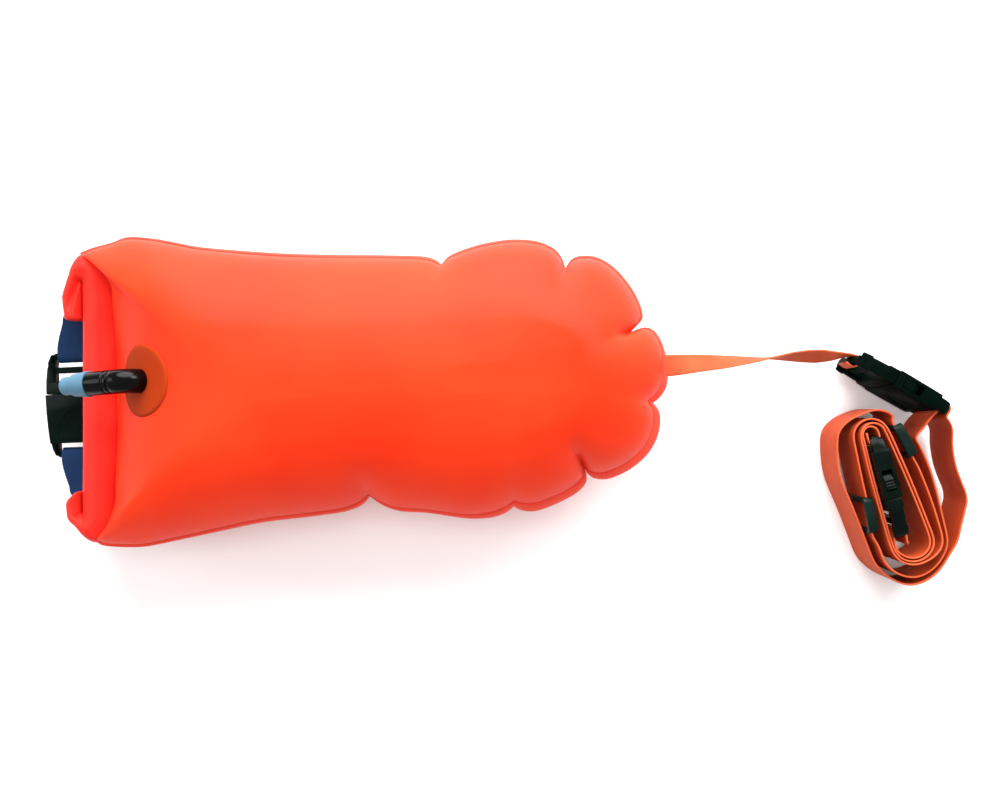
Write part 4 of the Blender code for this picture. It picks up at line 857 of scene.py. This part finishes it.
def web_bmesh(stations, width, gathers=None, sheet=WEB_SHEET):
    """The band along the stations; gathers gives a share of the width for each of them."""
    half, thick = width / 2, sheet / 2
    lip = min(0.0016, width / 8)
    columns = (
        (-half, 0.0), (-half + thick * 0.6, 0.92), (-half + lip, 1.0), (-half / 2, 0.86), (0.0, 0.86),
        (half / 2, 0.86), (half - lip, 1.0), (half - thick * 0.6, 0.92), (half, 0.0),
    )
    section = [(a, b * thick) for a, b in columns] + [(a, -b * thick) for a, b in columns[-2:0:-1]]
    points = [station[0] for station in stations]
    rings = []
    for number, (middle, across) in enumerate(stations):
        ahead = points[min(number + 1, len(points) - 1)]
        behind = points[max(number - 1, 0)]
        through = (ahead - behind).cross(across).normalized()
        share = gathers[number] if gathers else 1
        rings.append([middle + across * a * share + through * b for a, b in section])
    return carried(rings, lengths_along(points), [a for a, _ in section])


# %% [markdown]
# The closure webbing comes out of the folded cloth under each ear, gathered, and doubles
# back round a bar of the buckle below the roll.

# %% Buckle places and the closure webbing
FEMALE_LENGTH, MALE_LENGTH, BUCKLE_BAR = 0.047, 0.031, 0.0045
BAR_DEPTH = 0.005
FEMALE_BAR_X = -(FEMALE_LENGTH - BUCKLE_BAR / 2)
MALE_BAR_X = MALE_LENGTH - BUCKLE_BAR / 2
WRAP_RADIUS = math.hypot(BUCKLE_BAR, BAR_DEPTH) / 2 + 0.0003 + WEB_SHEET / 2


def buckle_frame(origin, along, across):
    """A buckle's own frame: X to its male side, Y along its bars."""
    along, across = along.normalized(), across.normalized()
    turn = Matrix((along, across, along.cross(across))).transposed().to_4x4()
    return Matrix.Translation(origin) @ turn


def bar_wrap(frame, bar_x, start_deg, end_deg, steps=8):
    """Stations of webbing bent round a bar of the buckle with that frame."""
    facing = 1 if bar_x < 0 else -1
    across = (frame.to_3x3() @ Vector((0, 1, 0))).normalized()
    stations = []
    for step in range(steps + 1):
        angle = math.radians(start_deg + (end_deg - start_deg) * step / steps)
        local = Vector((
            bar_x + facing * WRAP_RADIUS * math.cos(angle), 0, WRAP_RADIUS * math.sin(angle)
        ))
        stations.append((frame @ local, across.copy()))
    return stations


CLOSURE_PLACE = Vector((-0.221, 0.003, 0.044))
closure_frame = buckle_frame(CLOSURE_PLACE, Vector((0, 1, 0)), Vector((-1, 0, 0)))
SEWN_Z = SEAM_HEIGHT - 0.024 / 2 - 0.0003 - WEB_SHEET / 2
for side, bar_x, name, ear_y in (
    (1, MALE_BAR_X, "upper", 0.060), (-1, FEMALE_BAR_X, "lower", 0.070)
):
    wrap = bar_wrap(closure_frame, bar_x, 90, -90)
    across = wrap[0][1]
    bar_y = CLOSURE_PLACE.y + bar_x
    under = SEWN_Z - WEB_SHEET - 0.0003
    middle_y = (side * ear_y + bar_y) / 2
    lead = [
        (side * (ear_y + 0.017), SEWN_Z + 0.0090), (side * (ear_y + 0.009), SEWN_Z + 0.0060),
        (side * ear_y, SEWN_Z + 0.0004), (middle_y, (SEWN_Z + wrap[0][0].z) / 2),
    ]
    tail = [
        (bar_y + side * WRAP_RADIUS, wrap[-1][0].z),
        (middle_y, (under + wrap[-1][0].z) / 2 - WEB_SHEET),
        (side * ear_y, under), (side * (ear_y + 0.009), under + 0.0056),
        (side * (ear_y + 0.016), under + 0.0088),
    ]
    stations = [(Vector((CLOSURE_PLACE.x, y, z)), across) for y, z in lead] + wrap
    stations += [(Vector((CLOSURE_PLACE.x, y, z)), across) for y, z in tail]
    stations = smooth_stations(stations, 0.0012)
    gathers = []
    for number, (place, _) in enumerate(stations):
        tuck = eased_step(side * place.y, abs(bar_y) + 0.002, ear_y + 0.010)
        deep = eased_step(side * place.y, ear_y - 0.001, ear_y + 0.011)
        place.x += 0.0035 * tuck + 0.0014 * (number < len(stations) / 2) + 0.0030 * deep
        gathers.append(1 - 0.22 * tuck - 0.20 * deep)
    bm = web_bmesh(stations, 0.038, gathers)
    new_piece("closure_webbing_" + name, bm, BLUE_WEB, "float", "blue_webbing", "closure_web_" + name)
print("closure webbing drawn on both sides of the buckle")

# %% [markdown]
# The leash is 16 mm webbing. It is sewn in under the weld, makes half a turn on its way and
# is doubled back round the end bar of the release buckle.

# %% The leash
LEASH_TURN, LEASH_TILT = math.radians(147.5), math.radians(88)
leash_level = Vector((math.sin(LEASH_TURN), -math.cos(LEASH_TURN), 0))
leash_frame = buckle_frame(
    Vector((0.3862, -0.0118, 0.0288)),
    Vector((math.cos(LEASH_TURN), math.sin(LEASH_TURN), 0)),
    leash_level * math.cos(LEASH_TILT) + Vector((0, 0, math.sin(LEASH_TILT))),
)
leash_route = (
    (0.2095, 0.0053, 0.06045, 180), (0.2165, 0.0053, 0.06045, 178), (0.2270, 0.0057, 0.0590, 160),
    (0.2400, 0.0062, 0.0570, 145), (0.2550, 0.0066, 0.0540, 132), (0.2700, 0.0072, 0.0500, 117),
    (0.2850, 0.0080, 0.0455, 103), (0.2990, 0.0088, 0.0412, 87), (0.3120, 0.0092, 0.0376, 71),
    (0.3250, 0.0090, 0.0345, 58), (0.3370, 0.0085, 0.0320, 54), (0.3490, 0.0080, 0.0300, 68),
)
leash_stations = []
for index, (x, y, z, degrees) in enumerate(leash_route):
    ahead = Vector(leash_route[min(index + 1, len(leash_route) - 1)][:3])
    behind = Vector(leash_route[max(index - 1, 0)][:3])
    heading = (ahead - behind).normalized()
    level = Vector((-heading.y, heading.x, 0)).normalized()
    upward = heading.cross(level)
    upward = upward if upward.z > 0 else -upward
    turn = math.radians(degrees)
    leash_stations.append((Vector((x, y, z)), level * math.cos(turn) + upward * math.sin(turn)))
wrap = bar_wrap(leash_frame, MALE_BAR_X, 118, -90)
sewn = wrap[-1][0].lerp(leash_stations[-1][0], 0.35)
leash_stations = smooth_stations(leash_stations + wrap + [(sewn, wrap[-1][1])], 0.0015)
leash = new_piece(
    "leash_webbing", web_bmesh(leash_stations, 0.016), LEASH_WEB, "float", "orange_webbing", "leash_strap"
)

# %% [markdown]
# The waist belt lies coiled on its edge. Two strands leave the closed belt buckle and wind
# side by side round it, egg-shaped because the buckle stands in the middle. Tables give how
# far each strand stands off an even coil, which is where the loose loops and the kink come
# from.

# %% The belt's route
COIL_X, COIL_Y, COIL_TURN = 0.3774, -0.0861, math.radians(102.4)
TOP_ALONG, TOP_ACROSS, TOP_RADIUS = 0.0345, 0.0006, 0.009
FOOT_ALONG, FOOT_ACROSS, FOOT_RADIUS = -0.050, 0.008, 0.0155
LAYER_PITCH, SIDE_SHARE, LOOSE_SWELL = 0.0024, 0.36, 0.031
LOW_HEIGHT, HIGH_HEIGHT = 0.0193, 0.0283
outer_swell = (
    (115, 0), (560, 0), (600, 0.13), (625, 0.245), (650, 0.23), (670, 0.21), (700, 0.13),
    (727, 0.05), (748, 0.09), (762, 0.13), (776, 0.18), (787, 0.27), (797, 0.41), (804, 0.46),
    (811, 0.38), (818, 0.31), (832, 0.26), (853, 0.27), (874, 0.33), (888, 0.38), (902, 0.37),
    (923, 0.34), (951, 0.31), (965, 0.37), (972, 0.55), (978, 0.82), (982, 1.0), (986, 1.0),
    (991, 1.0), (998, 1.16),
)
inner_swell = (
    (430, 0), (700, 0), (740, 0), (780, 0.03), (810, 0.10), (840, 0.17), (870, 0.21),
    (900, 0.27), (930, 0.28), (955, 0.28), (970, 0.32), (985, 0.42), (993, 0.45), (1003, 0.40),
)
outer_height = ((115, 1), (560, 1), (640, 0.66), (705, 0.66), (840, 0), (960, 0), (998, 0.3))
inner_height = ((430, 1), (640, 1), (760, 0.66), (850, 0.66), (930, 0), (975, 0), (1003, 0.6))
ALONG = Vector((math.cos(COIL_TURN), math.sin(COIL_TURN), 0))
ACROSS = Vector((ALONG.y, -ALONG.x, 0))
UPRIGHT = Vector((0, 0, 1))


def glide(table, position):
    """A smooth curve through the rows of a table of (position, value)."""
    if position <= table[0][0]:
        return table[0][1]
    for index in range(len(table) - 1):
        (start, first), (end, second) = table[index], table[index + 1]
        if position <= end:
            before, after = table[max(index - 1, 0)], table[min(index + 2, len(table) - 1)]
            rise_in = (second - before[1]) / (end - before[0])
            rise_out = (after[1] - first) / (after[0] - start)
            share, run = (position - start) / (end - start), end - start
            return (
                first * (2 * share**3 - 3 * share**2 + 1) + second * (3 * share**2 - 2 * share**3)
                + run * rise_in * (share**3 - 2 * share**2 + share)
                + run * rise_out * (share**3 - share**2)
            )
    return table[-1][1]


def tween(table, position):
    """Eases between the rows of a table of (position, value)."""
    if position <= table[0][0]:
        return table[0][1]
    for (start, first), (end, second) in zip(table, table[1:]):
        if position <= end:
            share = (position - start) / (end - start)
            return first + (second - first) * share * share * (3 - 2 * share)
    return table[-1][1]


def coil_place(along, across, height):
    return Vector((COIL_X, COIL_Y, height)) + ALONG * along + ACROSS * across


def coil_strand(start_deg, end_deg, swell_table, height_table, inset):
    """One strand wound outwards, each layer two pitches a turn apart."""
    stations = []
    degrees = start_deg
    while degrees <= end_deg:
        offset = 2 * LAYER_PITCH * (degrees - 270) / 360 - inset
        offset += LOOSE_SWELL * glide(swell_table, degrees)
        height = LOW_HEIGHT + (HIGH_HEIGHT - LOW_HEIGHT) * tween(height_table, degrees)
        angle = math.radians(degrees)
        upward = math.cos(angle)
        share = min(max((upward / SIDE_SHARE + 1) / 2, 0), 1)
        radius = FOOT_RADIUS + (TOP_RADIUS - FOOT_RADIUS) * share + offset
        along = FOOT_ALONG + (TOP_ALONG - FOOT_ALONG) * share + radius * upward
        across = FOOT_ACROSS + (TOP_ACROSS - FOOT_ACROSS) * share - radius * math.sin(angle)
        stations.append((coil_place(along, across, height), UPRIGHT.copy()))
        degrees += 2.3 if abs(upward) < SIDE_SHARE else 6.5
    return stations


def straightened(stations, centre, direction):
    """Brings the webbing onto a straight line for as far as a slider needs."""
    reach = 0.0186
    result, done = [], False
    for middle, across in stations:
        away = middle - centre
        along = away.dot(direction)
        side = away - direction * along
        if abs(along) < reach and Vector((side.x, side.y)).length < LAYER_PITCH * 1.3:
            if not done:
                ends = [centre - direction * reach, centre + direction * reach]
                ends.sort(key=lambda point: (point - result[-1][0]).length)
                result += [(ends[0], across), (centre.copy(), across), (ends[1], across)]
                done = True
        else:
            result.append((middle, across))
    return result


def calmed(stations, held, passes=3):
    """Evens out the waves of a strand, but not near the places that are held."""
    stations = smooth_stations(stations, 0.004)
    for _ in range(passes):
        calm = []
        for before, (middle, across), after in zip(stations, stations[1:], stations[2:]):
            nearest = min((middle - place).length for place in held)
            share = eased_step(nearest, 0.017, 0.027)
            calm.append((middle.lerp((before[0] + after[0]) / 2, 0.5 * share), across))
        stations = stations[:1] + calm + stations[-1:]
    return stations


slider_height = LOW_HEIGHT + (HIGH_HEIGHT - LOW_HEIGHT) * 0.66
slider_1, slider_2 = coil_place(0.024, 0.0225, slider_height), coil_place(-0.024, -0.0170, slider_height)
way_1 = ALONG * math.cos(math.radians(-13.3)) + ACROSS * math.sin(math.radians(-13.3))
way_2 = ALONG * math.cos(math.radians(4)) + ACROSS * math.sin(math.radians(4))
outer = straightened(coil_strand(115, 998, outer_swell, outer_height, 0), slider_1, way_1)
inner = straightened(coil_strand(430, 1003, inner_swell, inner_height, LAYER_PITCH), slider_2, way_2)
inner = calmed(inner, (slider_2,))

HOOK_ALONG = 0.035
belt_frame = buckle_frame(
    coil_place(HOOK_ALONG - WRAP_RADIUS + FEMALE_BAR_X, 0, HIGH_HEIGHT), -ALONG, UPRIGHT
)
foot = bar_wrap(belt_frame, MALE_BAR_X, -90, 90)
start = [(foot[0][0] - ALONG * 0.009, UPRIGHT.copy())] + foot
head = bar_wrap(belt_frame, FEMALE_BAR_X, -90, 90)
hook_left = (inner[0][0] - Vector((COIL_X, COIL_Y, 0))).dot(ACROSS)
radius, centre = (WRAP_RADIUS - hook_left) / 2, (WRAP_RADIUS + hook_left) / 2
hook = [
    (coil_place(HOOK_ALONG + radius * math.sin(math.pi * step / 8),
                centre - radius * math.cos(math.pi * step / 8), HIGH_HEIGHT), UPRIGHT.copy())
    for step in range(9)
]
finish = hook + head + [(head[-1][0] + ALONG * 0.006, UPRIGHT.copy())]
wrap = bar_wrap(leash_frame, FEMALE_BAR_X, -35, 195)
tilt = wrap[0][1]
entry = leash_frame @ Vector((FEMALE_BAR_X + 0.0054, 0, -0.0102))
last_inner, last_outer = inner[-1][0], outer[-1][0]
inner_lead = [
    (last_inner.lerp(entry, 0.5), UPRIGHT.lerp(tilt, 0.45)), (entry, UPRIGHT.lerp(tilt, 0.85)),
]
away = wrap[-1][0] + (wrap[-1][0] - wrap[-2][0]).normalized() * 0.0036
bend = (last_outer + away) / 2 + ACROSS * 0.0036
outer_lead = [
    (away, tilt.copy()), (away.lerp(bend, 0.6), tilt.lerp(UPRIGHT, 0.3)),
    (bend, tilt.lerp(UPRIGHT, 0.6)), (bend.lerp(last_outer, 0.5), tilt.lerp(UPRIGHT, 0.85)),
]
kink = Vector((0.4438, -0.1028, 0.021))
outer = calmed(outer + list(reversed(outer_lead)), (slider_1, kink))
belt_route = start + outer + list(reversed(wrap))
belt_route += list(reversed(inner_lead)) + list(reversed(inner)) + finish
belt_stations = smooth_stations(belt_route, 0.0019)
belt = new_piece(
    "belt_webbing", web_bmesh(belt_stations, 0.038), BELT_WEB, "waist_belt", "orange_webbing", "belt_strap"
)
print("belt:", round(lengths_along([s[0] for s in belt_stations])[-1], 3), "m,", len(belt_stations), "stations")


# %% [markdown]
# Buckles and sliders are moulded acetal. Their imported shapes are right, so copies of them
# are cleaned, given small rounded edges and the faint orange peel of a mould. The black has
# a little green in it, and the sliders have a spark-eroded grain that catches the light.

# %% Moulded plastic group and materials
mould_group, mould_in, mould_out = new_group(
    "moulded_skin",
    {"Place": None, "Grain Scale": 900.0, "Flow Scale": 60.0},
    {"Grain": "NodeSocketFloat", "Flow": "NodeSocketFloat"},
)
for label, output in (("Grain Scale", "Grain"), ("Flow Scale", "Flow")):
    texture = mould_group.nodes.new("ShaderNodeTexNoise")
    mould_group.links.new(mould_in.outputs["Place"], texture.inputs["Vector"])
    mould_group.links.new(mould_in.outputs[label], texture.inputs["Scale"])
    texture.inputs["Detail"].default_value = 2.0
    mould_group.links.new(texture.outputs["Fac"], mould_out.inputs[output])


def moulded(name, dark, light, roughness, grain_depth, specular, ior=1.5):
    material, tree, shader = new_material(name, roughness, specular=specular)
    shader.inputs["IOR"].default_value = ior
    skin = place_group(tree, mould_group, Place=object_space(tree))
    flow = remap(tree, skin.outputs["Flow"], 0.3, 0.7, 0.0, 1.0)
    tree.links.new(blend_colours(tree, flow, dark, light), shader.inputs["Base Color"])
    gloss = remap(tree, skin.outputs["Flow"], 0.3, 0.7, roughness - 0.06, roughness + 0.08)
    tree.links.new(gloss, shader.inputs["Roughness"])
    bump(tree, shader, skin.outputs["Grain"], grain_depth, 0.6)
    return material


BUCKLE_BLACK = moulded(
    "buckle_acetal", (0.0002, 0.0022, 0.0013), (0.0005, 0.0038, 0.0026), 0.28, 0.00004, 0.25, 1.28
)
LEASH_BLACK = moulded(
    "leash_acetal", (0.0002, 0.0022, 0.0013), (0.0005, 0.0038, 0.0026), 0.58, 0.00004, 0.10, 1.20
)
SPRING_STEEL = moulded(
    "spring_wire", (0.50, 0.51, 0.52), (0.60, 0.60, 0.61), 0.30, 0.00002, 0.50
)
SPRING_STEEL.node_tree.nodes["Principled BSDF"].inputs["Metallic"].default_value = 1.0
SLIDER_BLACK = moulded(
    "slider_acetal", (0.0010, 0.0065, 0.0048), (0.0030, 0.0125, 0.0095), 0.34, 0.0002, 0.15
)
TUBE_RUBBER = moulded(
    "tube_rubber", (0.0006, 0.0008, 0.0008), (0.0009, 0.0011, 0.0010), 0.12, 0.00001, 0.40, 1.28
)
MOUTH_BLUE = moulded(
    "mouthpiece_blue", (0.066, 0.165, 0.235), (0.082, 0.190, 0.270), 0.46, 0.00004, 0.20
)


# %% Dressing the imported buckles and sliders
def dressed(node, body, material, edge=0.0003):
    """A cleaned copy of the node with small rounded edges, in its place."""
    bm = bmesh.new()
    bm.from_mesh(bpy.data.objects[node].data)
    bmesh.ops.remove_doubles(bm, verts=bm.verts, dist=0.000005)
    bmesh.ops.dissolve_limit(
        bm, angle_limit=math.radians(1.5), verts=bm.verts, edges=bm.edges, use_dissolve_boundaries=False
    )
    bmesh.ops.recalc_face_normals(bm, faces=bm.faces)
    item = new_piece(node + "_moulded", bm, material, body, "black_acetal", node)
    rim = item.modifiers.new("rim", "BEVEL")
    rim.width, rim.segments = edge, 2
    rim.limit_method, rim.angle_limit = "ANGLE", math.radians(32)
    rim.use_clamp_overlap = True
    item.data.set_sharp_from_angle(angle=math.radians(60))
    return item


for node, body in (
    ("roll_buckle_female", "float"), ("roll_buckle_male", "float"),
    ("roll_buckle_prong_a", "roll_prong_a"), ("roll_buckle_prong_b", "roll_prong_b"),
    ("leash_buckle_male", "float"), ("leash_buckle_female", "waist_belt"),
    ("leash_buckle_prong_a", "leash_prong_a"), ("leash_buckle_prong_b", "leash_prong_b"),
    ("belt_buckle_female", "waist_belt"), ("belt_buckle_male", "waist_belt"),
    ("belt_buckle_prong_a", "belt_prong_a"), ("belt_buckle_prong_b", "belt_prong_b"),
):
    dressed(node, body, LEASH_BLACK if node.startswith("leash") else BUCKLE_BLACK)
for number in (1, 2):
    dressed("belt_slider_%d" % number, "slider_%d" % number, SLIDER_BLACK, 0.0004)
print("dressed 12 buckle pieces and 2 sliders")


# %% [markdown]
# The oral valve sits on a welded disc. The disc is laid onto the blown-up skin point by
# point, so that it follows the slope. A bored elbow rises from it and bends over towards
# the rolled mouth, where the tube ends in a pale blue push mouthpiece with its collar.

# %% The valve's patch
VALVE_X, VALVE_Y, ELBOW_SHIFT = -0.1545, 0.0085, -0.0012
PATCH_RADIUS = 0.025
skin_tree = BVHTree.FromObject(float_skin, bpy.context.evaluated_depsgraph_get())


def skin_spot(x, y):
    """The point of the blown-up skin under (x, y), and its normal."""
    spot, normal, _, _ = skin_tree.ray_cast(Vector((x, y, 0.2)), Vector((0, 0, -1)))
    return spot, normal


def frame_at(spot, normal):
    return Matrix.Translation(spot) @ normal.to_track_quat("Z", "Y").to_matrix().to_4x4()


patch_spot, patch_normal = skin_spot(VALVE_X, VALVE_Y)
patch_frame = frame_at(patch_spot, patch_normal)
bm = bmesh.new()
spokes = [bm.verts.new((PATCH_RADIUS * step / 12, 0, 0)) for step in range(13)]
spoke_edges = [bm.edges.new(pair) for pair in zip(spokes, spokes[1:])]
bmesh.ops.spin(
    bm, geom=spokes + spoke_edges, cent=(0, 0, 0), axis=(0, 0, 1), angle=2 * math.pi, steps=72,
    use_merge=True,
)
bmesh.ops.remove_doubles(bm, verts=bm.verts, dist=0.00001)
for vert in bm.verts:
    edge_share = vert.co.length / PATCH_RADIUS
    lift = 0.0009 if edge_share < 0.97 else 0.0003
    start = patch_frame @ (vert.co + Vector((0, 0, 0.02)))
    hit, _, _, _ = skin_tree.ray_cast(start, -patch_normal)
    vert.co = hit + patch_normal * lift
bmesh.ops.recalc_face_normals(bm, faces=bm.faces)
if sum((face.normal.dot(patch_normal) for face in bm.faces)) < 0:
    bmesh.ops.reverse_faces(bm, faces=bm.faces)
patch = new_piece("valve_disc", bm, PATCH_CLOTH, "float", "patch_fabric", "valve_patch")
wall = patch.modifiers.new("wall", "SOLIDIFY")
wall.thickness, wall.offset = 0.0008, -0.6
print("valve disc laid at", [round(value, 3) for value in patch_spot])


# %% Elbow, tube, collar and mouthpiece
def turned(name, profile, frame, material, body, slot, *nodes):
    """A closed profile of (radius, height) spun about the frame's Z axis."""
    bm = bmesh.new()
    verts = [bm.verts.new((radius, 0, height)) for radius, height in profile]
    edges = [bm.edges.new(pair) for pair in zip(verts, verts[1:] + verts[:1])]
    bmesh.ops.spin(
        bm, geom=verts + edges, cent=(0, 0, 0), axis=(0, 0, 1), angle=2 * math.pi, steps=64,
        use_merge=True,
    )
    bmesh.ops.remove_doubles(bm, verts=bm.verts, dist=0.00001)
    bmesh.ops.recalc_face_normals(bm, faces=bm.faces)
    bmesh.ops.transform(bm, matrix=frame, verts=bm.verts)
    item = new_piece(name, bm, material, body, slot, *nodes)
    item.data.set_sharp_from_angle(angle=math.radians(50))
    return item


def eased_corner(corner, before, after, radius, steps=4):
    """Points that round a profile's corner."""
    corner, before, after = Vector(corner), Vector(before), Vector(after)
    first = corner + (before - corner).normalized() * radius
    last = corner + (after - corner).normalized() * radius
    return [
        tuple(first * (1 - s) ** 2 + corner * 2 * s * (1 - s) + last * s**2)
        for s in (step / steps for step in range(steps + 1))
    ]


def eased(profile, radii):
    """The profile with each corner rounded by its own radius, 0 for a sharp one."""
    result = []
    for index, (corner, radius) in enumerate(zip(profile, radii)):
        if radius:
            result += eased_corner(corner, profile[index - 1], profile[(index + 1) % len(profile)], radius)
        else:
            result.append(corner)
    return result


TUBE_RADIUS, TUBE_BORE, TUBE_LENGTH = 0.0084, 0.0058, 0.0177
foot, normal = skin_spot(VALVE_X - ELBOW_SHIFT, VALVE_Y)
SLOPE, TURN = math.radians(15), math.radians(2)
heading = Vector((
    -math.cos(TURN) * math.cos(SLOPE), -math.sin(TURN) * math.cos(SLOPE), -math.sin(SLOPE)
))
side = Vector((heading.y, -heading.x, 0)).normalized()
tube_frame = Matrix.Translation(Vector((-0.17217, 0.00815, 0.11256))) @ Matrix(
    (side, heading.cross(side), heading)
).transposed().to_4x4()

elbow_end = tube_frame.translation - heading * 0.0003
BEND, RUN = 0.0095, 0.003
turn = normal.angle(heading)
corner = elbow_end - heading * (RUN + BEND * math.tan(turn / 2))
inward = (heading - normal * heading.dot(normal)).normalized()
centre = corner - normal * BEND * math.tan(turn / 2) + inward * BEND
foot = corner - normal * 0.0138
way = [foot, foot + normal * 0.0012, foot + normal * 0.0018]
for step in range(15):
    angle = turn * step / 14
    way.append(centre - inward * BEND * math.cos(angle) + normal * BEND * math.sin(angle))
way += [elbow_end - heading * 0.0008, elbow_end]
radii = [0.0098, 0.0096, TUBE_RADIUS + 0.0002] + [TUBE_RADIUS] * 15 + [TUBE_RADIUS, TUBE_RADIUS - 0.0006]
rings = []
for number, (place, radius) in enumerate(zip(way, radii)):
    ahead = way[min(number + 1, len(way) - 1)]
    behind = way[max(number - 1, 0)]
    tangent = (ahead - behind).normalized()
    sideways = Vector((0, 1, 0)) - tangent * tangent.y
    sideways.normalize()
    across = tangent.cross(sideways)
    rings.append([
        place + (sideways * math.cos(a) + across * math.sin(a)) * radius
        for a in (2 * math.pi * k / 48 for k in range(48))
    ])
elbow = new_piece(
    "valve_elbow_fine", carried(rings, lengths_along(way), [0.0] * 48), TUBE_RUBBER, "float",
    "black_rubber", "valve_elbow",
)
elbow.data.set_sharp_from_angle(angle=math.radians(50))

tube_profile = [
    (TUBE_RADIUS, TUBE_LENGTH), (TUBE_RADIUS, 0.0044), (TUBE_RADIUS - 0.0005, 0.0038),
    (TUBE_RADIUS - 0.0005, 0.0028), (TUBE_RADIUS, 0.0022), (TUBE_RADIUS, 0.0), (TUBE_BORE, 0.0),
    (TUBE_BORE, 0.0063), (0.0034, 0.0063), (0.0034, 0.0083), (TUBE_BORE, 0.0083), (TUBE_BORE, TUBE_LENGTH),
]
turned("valve_tube_fine", eased(tube_profile, [0.0009, 0.0003, 0.0002, 0.0002, 0.0003, 0.0006] + [0] * 6),
       tube_frame, TUBE_RUBBER, "float", "black_rubber", "valve_tube")
RING_FOOT = TUBE_LENGTH + 0.0003
RING_TOP = RING_FOOT + 0.0123
ring_profile = [
    (0.0078, RING_TOP), (0.0090, RING_FOOT + 0.0012), (0.0090, RING_FOOT), (0.0070, RING_FOOT),
    (0.0070, RING_TOP),
]
turned("valve_collar", eased(ring_profile, [0.0008, 0.0006, 0.0005, 0, 0.0003]), tube_frame,
       MOUTH_BLUE, "lock_ring", "pale_blue_plastic", "valve_lock_ring")
SHOULDER = RING_TOP - 0.0045
TIP = SHOULDER + 0.0138
mouth_profile = [
    (0.0042, TIP), (0.0064, TIP - 0.0012), (0.0064, SHOULDER), (0.0052, SHOULDER),
    (0.0052, SHOULDER - 0.0115), (0.0030, SHOULDER - 0.0115), (0.0030, TIP),
]
turned("valve_mouth", eased(mouth_profile, [0.0011, 0.0012, 0, 0, 0, 0, 0.0005]), tube_frame,
       MOUTH_BLUE, "push_valve", "pale_blue_plastic", "valve_mouthpiece")

# The spring pushes the mouthpiece out
SPRING_WIRE, PUSH = 0.0004, 0.0025
spring_foot = 0.0083 + 0.0003 + SPRING_WIRE
spring_top = SHOULDER - 0.0115 - 0.0003 - SPRING_WIRE
coil = []
for step in range(73):
    turn = 2 * math.pi * step / 24
    height = spring_foot + (spring_top - spring_foot) * step / 72
    coil.append(tube_frame @ Vector((0.0042 * math.cos(turn), 0.0042 * math.sin(turn), height)))
rings = []
for step, place in enumerate(coil):
    tangent = (coil[min(step + 1, 72)] - coil[max(step - 1, 0)]).normalized()
    sideways = (heading - tangent * heading.dot(tangent)).normalized()
    across = tangent.cross(sideways)
    rings.append([
        place + (sideways * math.cos(a) + across * math.sin(a)) * SPRING_WIRE
        for a in (2 * math.pi * k / 8 for k in range(8))
    ])
spring = new_piece(
    "valve_spring_coil", carried(rings, lengths_along(coil), [0.0] * 8), SPRING_STEEL, "float",
    "spring_steel", "valve_spring",
)
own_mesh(spring)

# %% Finishes of the inner pieces that stay as packed
for node, material in (
    ("valve_poppet", BUCKLE_BLACK), ("valve_seal", TUBE_RUBBER),
):
    for material_slot in bpy.data.objects[node].material_slots:
        material_slot.link = "OBJECT"
        material_slot.material = material
